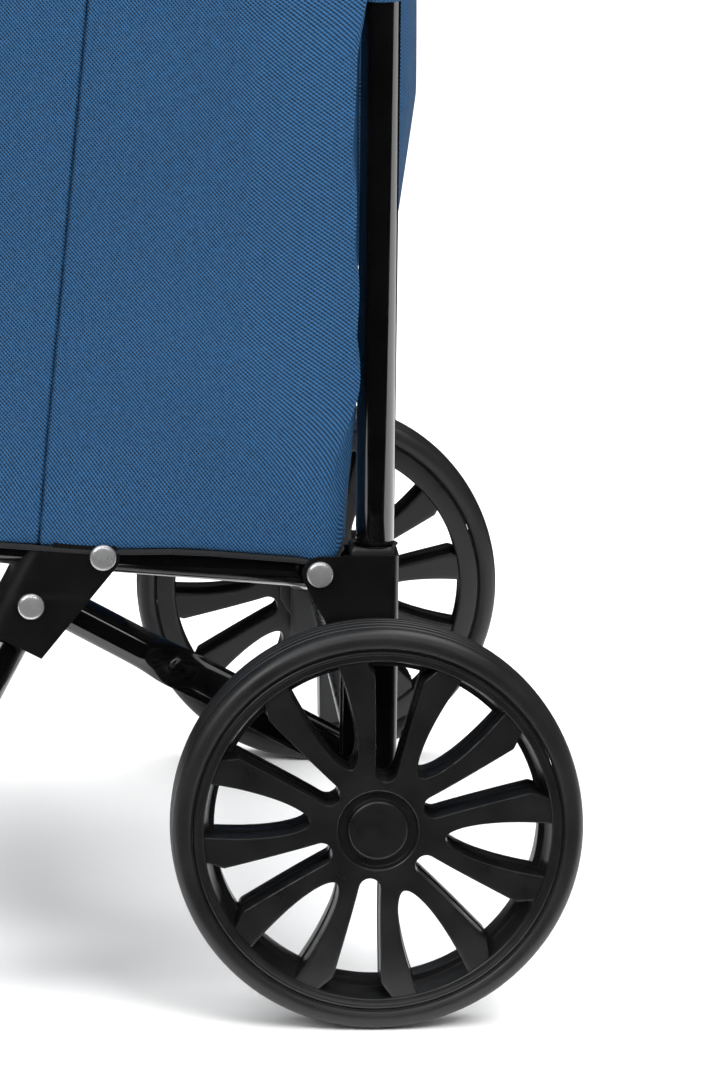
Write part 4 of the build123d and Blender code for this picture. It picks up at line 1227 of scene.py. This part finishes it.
@dataclass(frozen=True)
class Brace:
    """A brace: a round tube that is crimped flat on its way to the channel."""

    side: Side
    crimp: float = 86.0 * MM
    change: float = 14.0 * MM
    tail: float = 8.5 * MM
    end_round: float = 7.0 * MM
    spread: float = 0.10
    dish: float = 3.4 * MM
    ridge: float = 3.6 * MM
    dent: float = 1.3 * MM
    dent_half: float = 2.6 * MM
    dent_back: float = 3.0 * MM
    dip: float = 0.8 * MM
    dip_half: float = 9.0 * MM
    bore: float = 0.85
    bore_deep: float = 30.0 * MM

    def rows(self, length: float) -> Array:
        """Where the tube's sections are along it: close together at its end and its crimp."""
        start, stop = self.crimp - self.change, self.crimp + self.change
        end = -self.end_round * np.array((1.0, 0.86, 0.5, 0.0))
        return np.concatenate((
            end, np.linspace(10.0 * MM, start - 2.0 * MM, 14), np.linspace(start, stop, 30),
            np.linspace(stop + 6.0 * MM, length + self.tail, 12)))

    def section(self, rows: Array) -> tuple[Array, Array]:
        """The section at each row, as offsets across the trolley and up from the tube's middle.

        It is a circle ahead of the crimp. Past it the inner half stays round and the outer
        half is pressed in to a dish between two ridges. A dent sits where one turns into
        the other, and the tube's end draws in to a round.
        """
        angle = np.linspace(0, TAU, 57)
        cos, sin = np.cos(angle)[None], np.sin(angle)[None]
        r, at = PLACES.tube, rows[:, None]
        flat = 1 - smooth(at, self.crimp - self.change, self.crimp + self.change)
        dish = -self.dish + self.ridge * np.abs(sin) ** 3.0
        pressed = (1 - flat) * r * cos + flat * dish * np.clip(cos * 6, 0, 1)
        out = np.where(cos > 0, pressed, r * cos)
        dent = self.dent * bell(at - self.crimp + self.dent_back, self.dent_half)
        out = out - dent * np.clip(cos, 0, 1) ** 2 * bell(sin - 0.1, 0.3)
        end = np.sqrt(np.clip(1 - (np.clip(-at, 0, None) / self.end_round) ** 2, 0.02, 1))
        dip = self.dip * bell(at - self.crimp, self.dip_half) * np.clip(-sin, 0, None)
        return out, r * (1 + self.spread * flat) * sin * end - dip

    def build(self) -> None:
        """Makes the tube, with a shallow bore at its far end, and rides it on its own body."""
        low = np.array((PLACES.brace.y, PLACES.brace.z))
        high = np.array((PLACES.leg.y, PLACES.leg.z))
        length = float(np.linalg.norm(high - low))
        along = (high - low) / length
        lift = np.array((along[1], -along[0]))
        if lift[1] < 0:
            lift = -lift
        rows = self.rows(length)
        out, up = self.section(rows)
        at = low + along * rows[:, None]
        outside = points_of(self.side.value * (PLACES.brace_x + out), at[:, None, 0] + lift[0] * up,
                            at[:, None, 1] + lift[1] * up)
        first, last = outside[0], outside[-1]
        lip = last.mean(axis=0) + (last - last.mean(axis=0)) * self.bore
        deep = lip - np.array((0, *along)) * self.bore_deep
        skin = Skin().grid(outside)
        skin.grid(np.stack((first, np.broadcast_to(first.mean(axis=0), first.shape))))
        skin.grid(np.stack((last, lip, deep, np.broadcast_to(deep.mean(axis=0), deep.shape))))
        tag = self.side.tag
        piece = skin.build("crimped_brace_" + tag, [FINISH.gloss_black], 50)
        place(piece, "brace_" + tag, "black_tube", "brace_" + tag)
        dress("brace_pin_" + tag, FINISH.rivet)


# ---- bag -------------------------------------------------------------------
@dataclass(frozen=True)
class Bag:
    """The cloth bag: shell, seams, piping, lid, rear pocket, loops and tabs."""

    height: float = 540.0 * MM
    depth_low: float = 252.0 * MM
    depth_high: float = 182.0 * MM
    width_low: float = 400.0 * MM
    width_high: float = 384.0 * MM
    back: float = 11.8 * MM
    clear: float = 2.2 * MM
    corner: float = 14.0 * MM
    cloth: float = 1.4 * MM
    seam_share: float = 0.5036
    seam_drift: float = 0.0585
    keep_folded: float = 0.58
    swell_side: float = 2.4 * MM
    swell_front: float = 5.0 * MM
    back_draw: float = 0.6 * MM
    roll: float = 2.6 * MM
    roll_height: float = 5.0 * MM
    lean: float = 4.4 * MM
    lean_wave: float = 0.5 * MM
    hug: float = 10.8 * MM
    pull: float = 5.0 * MM
    tube_gap: float = 0.3 * MM
    tube_room: float = 0.2 * MM
    sag: float = 4.1 * MM
    sag_ahead: float = 3.4 * MM
    sag_corner: float = 1.6 * MM
    sag_height: float = 40.0 * MM
    cord: float = 1.2 * MM
    crown: float = 3.2 * MM
    loop_feet: tuple[float, float] = (422.0 * MM, 620.0 * MM)
    loop_height: float = 40.0 * MM
    loop_bore: float = 8.1 * MM
    loop_radius: float = 9.5 * MM
    tab_radius: float = 7.3 * MM
    tab_half: float = 18.0 * MM
    tab_x: float = 110.0 * MM
    tab_wall: float = 1.6 * MM

    SLACK: ClassVar[tuple[tuple[float, float, float, float], ...]] = (
        (0.8 * MM, 7, 0.6, 0.4), (0.6 * MM, 13, -0.9, 1.9), (0.45 * MM, 21, 1.4, 0.7),
        (0.5 * MM, 4, 2.3, 2.6), (0.3 * MM, 31, 0.5, 4.1))
    SKIRT: ClassVar[tuple[tuple[float, float, float, float], ...]] = (
        (0.5 * MM, 9, 0.2, 0.3), (0.35 * MM, 17, 0.4, 2.0), (0.3 * MM, 5, 1.1, 1.0))
    POCKET: ClassVar[tuple[tuple[float, float, float, float], ...]] = (
        (0.016, 3, 0.7, 0.5), (0.012, 6, -0.8, 2.1), (0.010, 9, 1.7, 4.0))

    @property
    def back_y(self) -> float:
        """Where the bag's back panel lies."""
        return PLACES.axle.y - self.back

    @property
    def base(self) -> Array:
        """The middle of the bag's base."""
        along = self.back + self.depth_low / 2 - (PLACES.axle.y - PLACES.main.y)
        return PLACES.on_platform(along, PLACES.tube + self.clear)

    @property
    def rim_z(self) -> float:
        """The height of the bag's rim."""
        return float(self.base[2]) + self.height

    @staticmethod
    def stations() -> Array:
        """Shares of the way round: close together at the corners and closest at the gusset seams."""
        runs = (
            (0.0, 0.143, 0.007), (0.143, 0.183, 0.0018), (0.183, 0.2385, 0.006),
            (0.2385, 0.2585, 0.00036), (0.2585, 0.318, 0.006), (0.318, 0.356, 0.0018),
            (0.356, 0.5, 0.007),
        )
        half = np.concatenate([
            np.linspace(low, high, round((high - low) / step), endpoint=False)
            for low, high, step in runs])
        return np.concatenate((half, [0.5], 1 - half[::-1]))

    def depth(self, level: Array) -> Array:
        """How deep the bag is, front to back, at each level."""
        return self.depth_low + (self.depth_high - self.depth_low) * level

    def outline(self, level: Array, share: Array) -> Array:
        """The bag's plan at each level from 0, its base, to 1, its rim.

        A rectangle with round corners, gone round once from the middle of its back. Width
        and depth run straight from base to rim.

        Args:
            level: n levels.
            share: m shares of the way round, from 0 to 1.

        Returns:
            n by m by 2 offsets: x, and y from the outline's middle.
        """
        width = self.width_low + (self.width_high - self.width_low) * level
        r, slip = self.corner, 1e-12
        w, d = width[:, None] / 2 - r, self.depth(level)[:, None] / 2 - r
        arc = np.full_like(w, math.pi / 2 * r)
        runs = [w, arc, 2 * d, arc, 2 * w, arc, 2 * d, arc, w]
        ends = np.concatenate(runs, axis=1).cumsum(axis=1)
        at = share[None] * ends[:, -1:]
        starts = np.concatenate((0 * w, ends[:, :-1]), axis=1)
        x, y = np.zeros_like(at), np.zeros_like(at)
        corners = ((1, 1, 0), (1, -1, 1), (-1, -1, 2), (-1, 1, 3))
        for number in range(9):
            low, high = starts[:, number:number + 1], ends[:, number:number + 1]
            here = (at >= low - slip) & (at <= high + slip)
            t = at - low
            if number % 2:
                sx, sy, turn = corners[number // 2]
                angle = math.pi / 2 - turn * math.pi / 2 - t / r
                px, py = sx * w + r * np.cos(angle), sy * d + r * np.sin(angle)
            else:
                px, py = {
                    0: (t, d + r + 0 * t), 2: (w + r + 0 * t, d - t), 4: (w - t, -d - r + 0 * t),
                    6: (-w - r + 0 * t, -d + t), 8: (-w + t, d + r + 0 * t),
                }[number]
            x, y = np.where(here, px, x), np.where(here, py, y)
        return np.stack((x, y), axis=-1)

    def wall_point(self, flat: Array, level: Array) -> Array:
        """Offsets in the plan put into space, on a base that tilts with the platform."""
        tilt = PLACES.rise * (1 - level)[:, None]
        y = self.back_y - self.depth(level)[:, None] / 2 + flat[..., 1] * np.cos(tilt)
        z = self.base[2] + self.height * level[:, None] - flat[..., 1] * np.sin(tilt)
        return points_of(flat[..., 0], y, z)

    def push(self, flat: Array, level: Array, share: Array) -> Array:
        """How far the cloth stands out from the plan.

        The side and front panels swell in their middles, and long low ripples run down
        them where the cloth is slack. The back panel lies a little in. A groove follows
        each gusset seam, and the wall's foot rolls under.

        Args:
            flat: The plan's offsets, n by m by 2.
            level: n levels.
            share: m shares of the way round.

        Returns:
            n by m distances.
        """
        wide, back = np.abs(flat[..., 0]), flat[..., 1]
        high, around = np.broadcast_arrays(level[:, None], share[None])
        side = smooth(wide, 0.180, 0.1915) * (1 - smooth(np.abs(back), 0.085, 0.122))
        front = smooth(-back, 0.060, 0.088) * (1 - smooth(wide, 0.150, 0.190))
        rear = smooth(back, 0.06, 0.085) * (1 - smooth(wide, 0.165, 0.19))
        ends = np.sin(math.pi * np.clip(high, 0, 1)) ** 0.6
        swell = (self.swell_side * side + self.swell_front * front) * ends
        slack = ripple(around, high, self.SLACK) * smooth(high, 0.02, 0.3)
        slack = slack * (0.35 + 0.65 * smooth(high, 0.2, 0.7))
        groove = self.seam_profile(self.seam_line(flat, level)) * smooth(wide, 0.170, 0.180)
        under = 1 - np.clip(high * self.height / self.roll_height, 0, 1)
        roll = self.roll * (1 - np.sqrt(1 - under ** 2))
        return (swell + slack) * (1 - rear) - self.back_draw * rear + groove - roll

    def shell(self) -> bpy.types.Object:
        """The bag's body: the plan carried up from base to rim, outside, inside and base."""
        share = self.stations()
        foot = 0.012
        wall = foot + (1 - foot) * np.linspace(0, 1, 96) ** 1.1
        level = np.concatenate((np.linspace(0, foot, 9)[:-1], wall))
        flat = self.outline(level, share)
        rise = np.broadcast_to(level[:, None] * self.height, flat.shape[:2])
        normal = self.outward(flat)
        outer = self.wall_point(flat, level) + normal * self.push(flat, level, share)[..., None]
        outer[..., 1] += self.rear_pull(outer)
        outer[..., 2] -= self.droop(outer, rise)
        perimeter = 2 * (self.width_low + self.depth_low) - 8 * self.corner + TAU * self.corner
        uv = points_of(share[None] * perimeter, rise)
        base = self.base_rows(outer[0])
        inner = outer - normal * self.cloth
        top = outer[-1:] - normal[-1:] * self.cloth / 2 + np.array((0, 0, 0.5 * MM))
        skin = Skin()
        skin.grid(np.concatenate((base, outer)), np.concatenate((base[..., :2], uv)))
        skin.grid(np.concatenate((outer[-1:], top, inner[-1:])),
                  np.concatenate((uv[-1:], uv[-1:] + 0.5 * MM, uv[-1:] + MM)))
        lining = np.concatenate((inner[::-1], base[::-1] + np.array((0, 0, self.cloth))))
        skin.grid(lining, np.concatenate((uv[::-1], base[::-1, :, :2])), mark=1)
        return skin.build("cloth_bag_body", [FINISH.blue, FINISH.lining], 70)

    @staticmethod
    def seam_profile(seam: Array) -> Array:
        """Across a gusset seam: a shallow dip, a sharp groove at its middle and a lip on one side."""
        dip = -0.7 * MM * bell(seam, 6 * MM)
        groove = -2.4 * MM * bell(seam, 0.62 * MM)
        lip = 0.5 * MM * bell(seam - 2.1 * MM, 1.2 * MM)
        return dip + groove + lip

    def rear_pull(self, points: Array) -> Array:
        """How far the rear corners lean back: a slow wave, and a pull towards each pair of loops.

        The cloth may pass the uprights only outside their tubes.
        """
        x, y, z = np.abs(points[..., 0]), points[..., 1], points[..., 2]
        edge = PLACES.upright_x + PLACES.tube + self.tube_gap
        rear = smooth(y, self.back_y - 30 * MM, self.back_y - 3 * MM)
        near = smooth(x, 0.140, 0.176) * rear * smooth(z, 0.194, 0.262)
        wave = self.lean + self.lean_wave * np.cos((z - 300 * MM) / (26 * MM))
        room = PLACES.axle.y - PLACES.tube - self.tube_room - y
        leaned = np.where(x < edge, np.minimum(wave * near, room), wave * near)
        pull = np.zeros_like(z)
        for low in self.loop_feet:
            above = smooth(z, low + 30 * MM, low + 62 * MM)
            pull = pull + smooth(z, low - 24 * MM, low + 4 * MM) * (1 - above)
        hug = self.hug * smooth(z, 0.216, 0.266) + self.pull * pull
        outside = smooth(x, edge, edge + 1.5 * MM)
        return leaned + hug * outside * smooth(y, self.back_y - 46 * MM, self.back_y - 10 * MM)

    def seam_line(self, flat: Array, level: Array) -> Array:
        """How far each point of a side panel is from its gusset seam, along the panel."""
        share = self.seam_share - self.seam_drift * level[:, None]
        return flat[..., 1] - (0.5 - share) * self.depth(level)[:, None]

    def outward(self, flat: Array) -> Array:
        """Unit vectors out of the plan, level with the floor."""
        along = np.gradient(flat, axis=1)
        along[:, 0] = along[:, -1] = (1, 0)
        along /= np.linalg.norm(along, axis=2)[..., None]
        return points_of(-along[..., 1], along[..., 0], 0.0) * self.turn_sign(flat)

    @staticmethod
    def turn_sign(flat: Array) -> float:
        """+1 or -1, so that the normals point out of the plan."""
        x, y = flat[0, :-1, 0], flat[0, :-1, 1]
        area = np.sum(x * np.roll(y, -1) - y * np.roll(x, -1))
        return -1.0 if area > 0 else 1.0

    def droop(self, points: Array, rise: Array) -> Array:
        """How far the wall's foot sags where it hangs outside the platform's tube."""
        outboard = smooth(np.abs(points[..., 0]), 0.1915, 0.1962)
        ahead = self.back_y - points[..., 1]
        sag = self.sag + self.sag_ahead * smooth(ahead, 0.058, 0.112)
        sag = sag + self.sag_corner * (1 - smooth(ahead, 0.008, 0.022))
        return sag * outboard * (1 - smooth(rise, 0.0, self.sag_height))

    def base_rows(self, edge: Array) -> Array:
        """The base: rings that draw in from the wall's foot to its middle, level with the platform."""
        hub = np.array((0.0, edge[:, 1].mean(), edge[:, 2].mean()))
        plane, slope = self.base, math.tan(PLACES.rise)
        rows = []
        for share in (0.0, 0.25, 0.5, 0.75, 0.9, 0.965, 0.985, 0.995):
            ring = hub + (edge - hub) * share
            level = plane[2] - (ring[:, 1] - plane[1]) * slope
            ring[:, 2] = level + (edge[:, 2] - level) * share ** 60
            rows.append(ring)
        return np.array(rows)

    def foot_line(self, out: float, below: float) -> Array:
        """A closed line round the foot of the wall, pushed out and down."""
        flat = self.outline(np.zeros(1), self.stations()[::2])
        points = self.wall_point(flat, np.zeros(1))
        sag = self.droop(points, np.zeros(points.shape[:2]))
        points = points + self.outward(flat) * out
        points[..., 2] -= below + sag
        return points[0]

    def cord_round(self, line: Array, radius: float) -> tuple[Array, Array]:
        """A round cord along a closed line, with cloth coordinates along and round it."""
        sides = 12
        closed = line[:-1]
        along = np.roll(closed, -1, axis=0) - np.roll(closed, 1, axis=0)
        along /= np.linalg.norm(along, axis=1)[:, None]
        lateral = np.cross(along, (0.0, 0.0, 1.0))
        lateral /= np.linalg.norm(lateral, axis=1)[:, None]
        rise = np.cross(lateral, along)
        angle = np.linspace(0, TAU, sides + 1)[None, :, None]
        turn = np.cos(angle) * lateral[:, None] + np.sin(angle) * rise[:, None]
        rings = closed[:, None] + radius * turn
        rings = np.concatenate((rings, rings[:1]))
        return rings, points_of(distances(line)[:, None], np.linspace(0, TAU * radius, sides + 1))

    def piping(self) -> bpy.types.Object:
        """The black cord sewn round the foot of the wall."""
        rings, uv = self.cord_round(self.foot_line(-1.3 * MM, 1.0 * MM), self.cord)
        return Skin().grid(rings, uv).build("base_piping", [FINISH.piping], 60)

    def lid(self) -> bpy.types.Object:
        """The lid flap: a crowned top, a round turn and a skirt with a hem, open at the back.

        The surface follows the bag's plan. From its middle it goes out in rings with a
        crown in their height, turns down through a round edge, and falls as a skirt that
        waves a little.
        """
        low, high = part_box("bag_lid")
        half_x, depth, skirt = (high.x - low.x) / 2, high.y - low.y, high.z - low.z
        angle = np.linspace(-math.pi / 2, math.pi / 2, 241)
        power = 0.26
        edge = np.stack((half_x * squared(np.sin(angle), power),
                         high.y - depth * squared(np.cos(angle), power)), axis=-1)
        hub = np.array((0.0, high.y))
        outward = (edge - hub) / np.linalg.norm(edge - hub, axis=1)[:, None]
        rows, uv = [], []
        for share in (0.0, 0.15, 0.35, 0.55, 0.72, 0.85, 0.93, 0.97):
            ring = hub + (edge - hub) * share
            y = np.minimum(ring[:, 1], high.y)
            rows.append(points_of(ring[:, 0], y, high.z - self.crown * share ** 2))
            uv.append(rows[-1][:, :2])
        for t in np.linspace(0, 1, 22):
            down = self.crown + t * (skirt - self.crown)
            pull = 3.0 * MM * (1 - min(1.0, t * 5)) ** 2 + 0.9 * MM
            wave = ripple(angle / math.pi, np.full_like(angle, t), self.SKIRT) * t
            hem = 0.5 * MM * bell(t - 0.93, 0.05)
            at = edge + outward * (wave + hem - pull)[:, None]
            rows.append(points_of(at[:, 0], np.minimum(at[:, 1], high.y), high.z - down))
            uv.append(points_of(angle * 0.35, -down))
        piece = Skin().grid(np.array(rows), np.array(uv)).build(
            "cloth_lid", [FINISH.blue], 70, closed=False)
        return thicken(piece, self.cloth, 0.0, -1.0, 70)

    def pocket(self) -> bpy.types.Object:
        """The rear pocket: a soft box that tapers at its foot and rounds over at its top.

        At each height the section bulges back from the bag by depth * (1 - |s|^p), s being
        the way across, so its sides turn in softly.
        """
        low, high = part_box("rear_pocket")
        half, depth = (high.x - low.x) / 2, high.y - low.y
        t = np.linspace(0, 1, 90)[:, None]
        s = np.linspace(-1, 1, 121)[None]
        z = low.z + (high.z - low.z) * t
        slant = 1 - 0.178 * np.clip((372 * MM - z) / (46 * MM), 0, None)
        foot = slant * smooth(z, low.z, low.z + 26 * MM) ** 0.7
        head = np.sqrt(np.clip(1 - (np.clip(t - 0.93, 0, None) / 0.07) ** 2, 0, 1))
        bulge = (1 - 0.235 * s ** 2) * np.sqrt(1 - np.abs(s) ** 24)
        across, up = np.broadcast_arrays(s / 2, t)
        body = depth * foot * head * bulge * (0.975 + ripple(across, up, self.POCKET))
        x = half * s * (1 - 0.05 * (1 - smooth(t, 0.0, 0.3)))
        uv = points_of(x, z)
        skin = Skin().grid(points_of(x, low.y + np.clip(body, 0, depth), z), uv)
        skin.grid(points_of(x, low.y, z)[:, ::-1], uv[:, ::-1])
        return skin.build("cloth_rear_pocket", [FINISH.blue], 70)

    def loops(self) -> bpy.types.Object:
        """Cloth loops round the uprights: a doubled band with a hem at its top and foot."""
        skin, bore = Skin(), self.loop_bore
        t = np.linspace(0, 1, 25)
        angle = np.linspace(0, TAU, 49)[:, None]
        hem = 0.35 * MM * (bell(t - 0.07, 0.035) + bell(t - 0.93, 0.035))
        radius = self.loop_radius + hem - 0.6 * MM * np.abs(2 * t - 1) ** 12
        for low in self.loop_feet:
            outer = np.stack((radius, low + self.loop_height * t), axis=1)
            inner = np.array(((bore, low + self.loop_height), (bore, low)))
            profile = np.concatenate((outer, inner, outer[:1]))
            r, z = profile[None, :, 0], profile[None, :, 1]
            for side in Side:
                x = side.value * PLACES.upright_x + r * np.cos(angle)
                points = points_of(x, PLACES.axle.y + r * np.sin(angle), z)
                skin.grid(points, points_of(angle * self.loop_radius, z))
        return skin.build("cloth_loops", [FINISH.blue], 60)

    def tabs(self) -> bpy.types.Object:
        """Webbing tabs: a strap down from the bag's rim and once round the crossbar."""
        high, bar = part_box("bag_tabs")[1], middle("upper_crossbar")
        r, skin = self.tab_radius, Skin()
        turn = np.linspace(0, 1.5 * math.pi, 30)
        ring = np.stack((PLACES.axle.y - r * np.cos(turn), bar.z - r * np.sin(turn)), axis=1)
        back = PLACES.axle.y - r
        line = np.concatenate((((back, high.z), (back, bar.z + 12 * MM)), ring))
        across = np.linspace(-self.tab_half, self.tab_half, 9)
        for offset in (self.tab_x, -self.tab_x):
            skin.grid(points_of(offset + across, line[:, :1], line[:, 1:]),
                      points_of(across, distances(line)[:, None]))
        piece = skin.build("webbing_tabs", [FINISH.webbing], 60, closed=False)
        return thicken(piece, self.tab_wall, 0.3 * MM, 0.0, 60)

    def build(self) -> None:
        """Makes the bag's pieces and rides them on their bodies."""
        shell = place(self.shell(), "frame", "blue_cloth", "bag_shell")
        piping = place(self.piping(), "frame", "black_webbing", "bag_piping")
        place(self.lid(), "lid", "blue_cloth", "bag_lid")
        pocket = place(self.pocket(), "frame", "blue_cloth", "rear_pocket")
        for piece in (shell, piping, pocket):
            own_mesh(piece)
        place(self.loops(), "frame", "blue_cloth", "bag_loops")
        place(self.tabs(), "frame", "black_webbing", "bag_tabs")


# ---- studio ----------------------------------------------------------------
@dataclass(frozen=True)
class Lamp:
    """A soft rectangular lamp that faces a point, with its power in watts."""

    name: str
    at: tuple[float, float, float]
    to: tuple[float, float, float]
    size: tuple[float, float]
    power: float
    mirrored: bool = True
    glint: bool = False

    def build(self) -> None:
        """Makes the lamp: shiny parts mirror it if mirrored, and only they see it if glint."""
        data = bpy.data.lights.new(self.name, "AREA")
        data.shape = "RECTANGLE"
        data.size, data.size_y = self.size
        data.energy = self.power
        lamp = bpy.data.objects.new(self.name, data)
        bpy.context.scene.collection.objects.link(lamp)
        lamp.location = Vector(self.at)
        lamp.visible_camera = False
        lamp.visible_glossy = self.mirrored
        lamp.visible_diffuse = not self.glint
        facing = Vector(self.to) - Vector(self.at)
        lamp.rotation_euler = facing.to_track_quat("-Z", "Y").to_euler()


@dataclass(frozen=True)
class Sheet:
    """A level sheet of the studio's floor: its ends along X and Y, and how far down it lies."""

    name: str
    x: tuple[float, float]
    y: tuple[float, float]
    below: float
    mirrored: bool

    def build(self, paint: bpy.types.Material) -> None:
        """Makes the sheet, facing up."""
        x, y = np.linspace(*self.x, 9), np.linspace(*self.y, 9)
        points = points_of(x[:, None], y[None], -self.below)
        sheet = Skin().grid(points[:, ::-1]).build(self.name, [paint], 60, closed=False)
        sheet.visible_glossy = self.mirrored


@dataclass(frozen=True)
class Studio:
    """A pale floor with a sheet of paper on it, four lamps and the camera."""

    camera_at: tuple[float, float, float] = (2.9384, -0.0951, 0.8222)
    yaw: float = math.radians(3.746)
    pitch: float = math.radians(12.774)
    roll: float = math.radians(0.67)
    lens: float = 228.56
    sensor: float = 36.0
    sky: float = 0.78
    sheets: tuple[Sheet, ...] = (
        Sheet("studio_floor", (9.0, -9.0), (-9.0, 9.0), 0.2 * MM, False),
        Sheet("studio_paper", (0.30, -0.45), (-0.75, 2.6), 0.1 * MM, True),
    )
    lamps: tuple[Lamp, ...] = (
        Lamp("top box", (-0.7, 0.0, 2.8), (-0.7, 0.0, 0.0), (3.4, 3.4), 125),
        Lamp("front box", (1.5, -1.5, 1.7), (0.0, -0.1, 0.1), (1.2, 1.2), 24),
        Lamp("key box", (1.15, 0.6, 1.15), (0.1, 0.0, 0.4), (0.7, 0.7), 22, mirrored=False),
        Lamp("level strip", (1.7, -0.1, 1.45), (0.2, 0.0, 0.15), (2.4, 0.22), 8, glint=True),
    )

    @staticmethod
    def floor_paint() -> bpy.types.Material:
        """Matt white paper, a little uneven."""
        bench = Bench("studio floor")
        where = bench.node("TexCoord")
        cloud = bench.noise((where, "Object"), 2.0)
        colour = bench.tint(bench.spread(cloud, 0.0, 1.0), (0.90, 0.90, 0.90), (0.92, 0.92, 0.92))
        bench.link(colour, 2, bench.shader, "Base Color")
        bench.settings(Roughness=0.6, Specular_IOR_Level=0.2)
        return bench.material

    def floor(self) -> None:
        """The pale floor and the paper that the trolley stands on.

        Shiny parts mirror only the paper, as the floor around it and the sky are hidden
        from them.
        """
        paint = self.floor_paint()
        for sheet in self.sheets:
            sheet.build(paint)

    def lights(self) -> None:
        """A bright sky that shiny parts don't mirror, and the lamps."""
        world = bpy.data.worlds.new("studio")
        bpy.context.scene.world = world
        world.use_nodes = True
        sky = world.node_tree.nodes["Background"]
        sky.inputs["Color"].default_value = (1, 1, 1, 1)
        sky.inputs["Strength"].default_value = self.sky
        world.cycles_visibility.glossy = False
        for lamp in self.lamps:
            lamp.build()

    def camera(self) -> None:
        """The camera: looks along -X with a small turn, tilt and roll."""
        yaw, pitch, roll = self.yaw, self.pitch, self.roll
        level = math.cos(pitch)
        ahead = Vector((-math.cos(yaw) * level, math.sin(yaw) * level, -math.sin(pitch)))
        right = Vector((math.sin(yaw), math.cos(yaw), 0))
        up = right.cross(ahead)
        right_rolled = right * math.cos(roll) + up * math.sin(roll)
        up_rolled = -right * math.sin(roll) + up * math.cos(roll)
        data = bpy.data.cameras.new("camera")
        data.lens = self.lens
        data.sensor_width = self.sensor
        data.clip_start, data.clip_end = 0.05, 50
        camera = bpy.data.objects.new("camera", data)
        bpy.context.scene.collection.objects.link(camera)
        turn = Matrix((right_rolled, up_rolled, -ahead)).transposed().to_4x4()
        camera.matrix_world = Matrix.Translation(self.camera_at) @ turn
        bpy.context.scene.camera = camera

    def build(self) -> None:
        """Makes the studio."""
        self.floor()
        self.lights()
        self.camera()
        bpy.context.scene.view_settings.view_transform = "Standard"


def write_sizes() -> None:
    """Updates the view layer."""
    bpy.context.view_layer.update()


def main() -> None:
    """Builds the trolley and its studio."""
    logging.basicConfig(level=logging.INFO, format="%(name)s: %(message)s")
    Studio().build()
    for side in Side:
        Wheel(side).build()
    RearFrame().build()
    Platform().build()
    for side in Side:
        Brace(side).build()
    Bag().build()
    write_sizes()


if __name__ == "__main__":
    main()
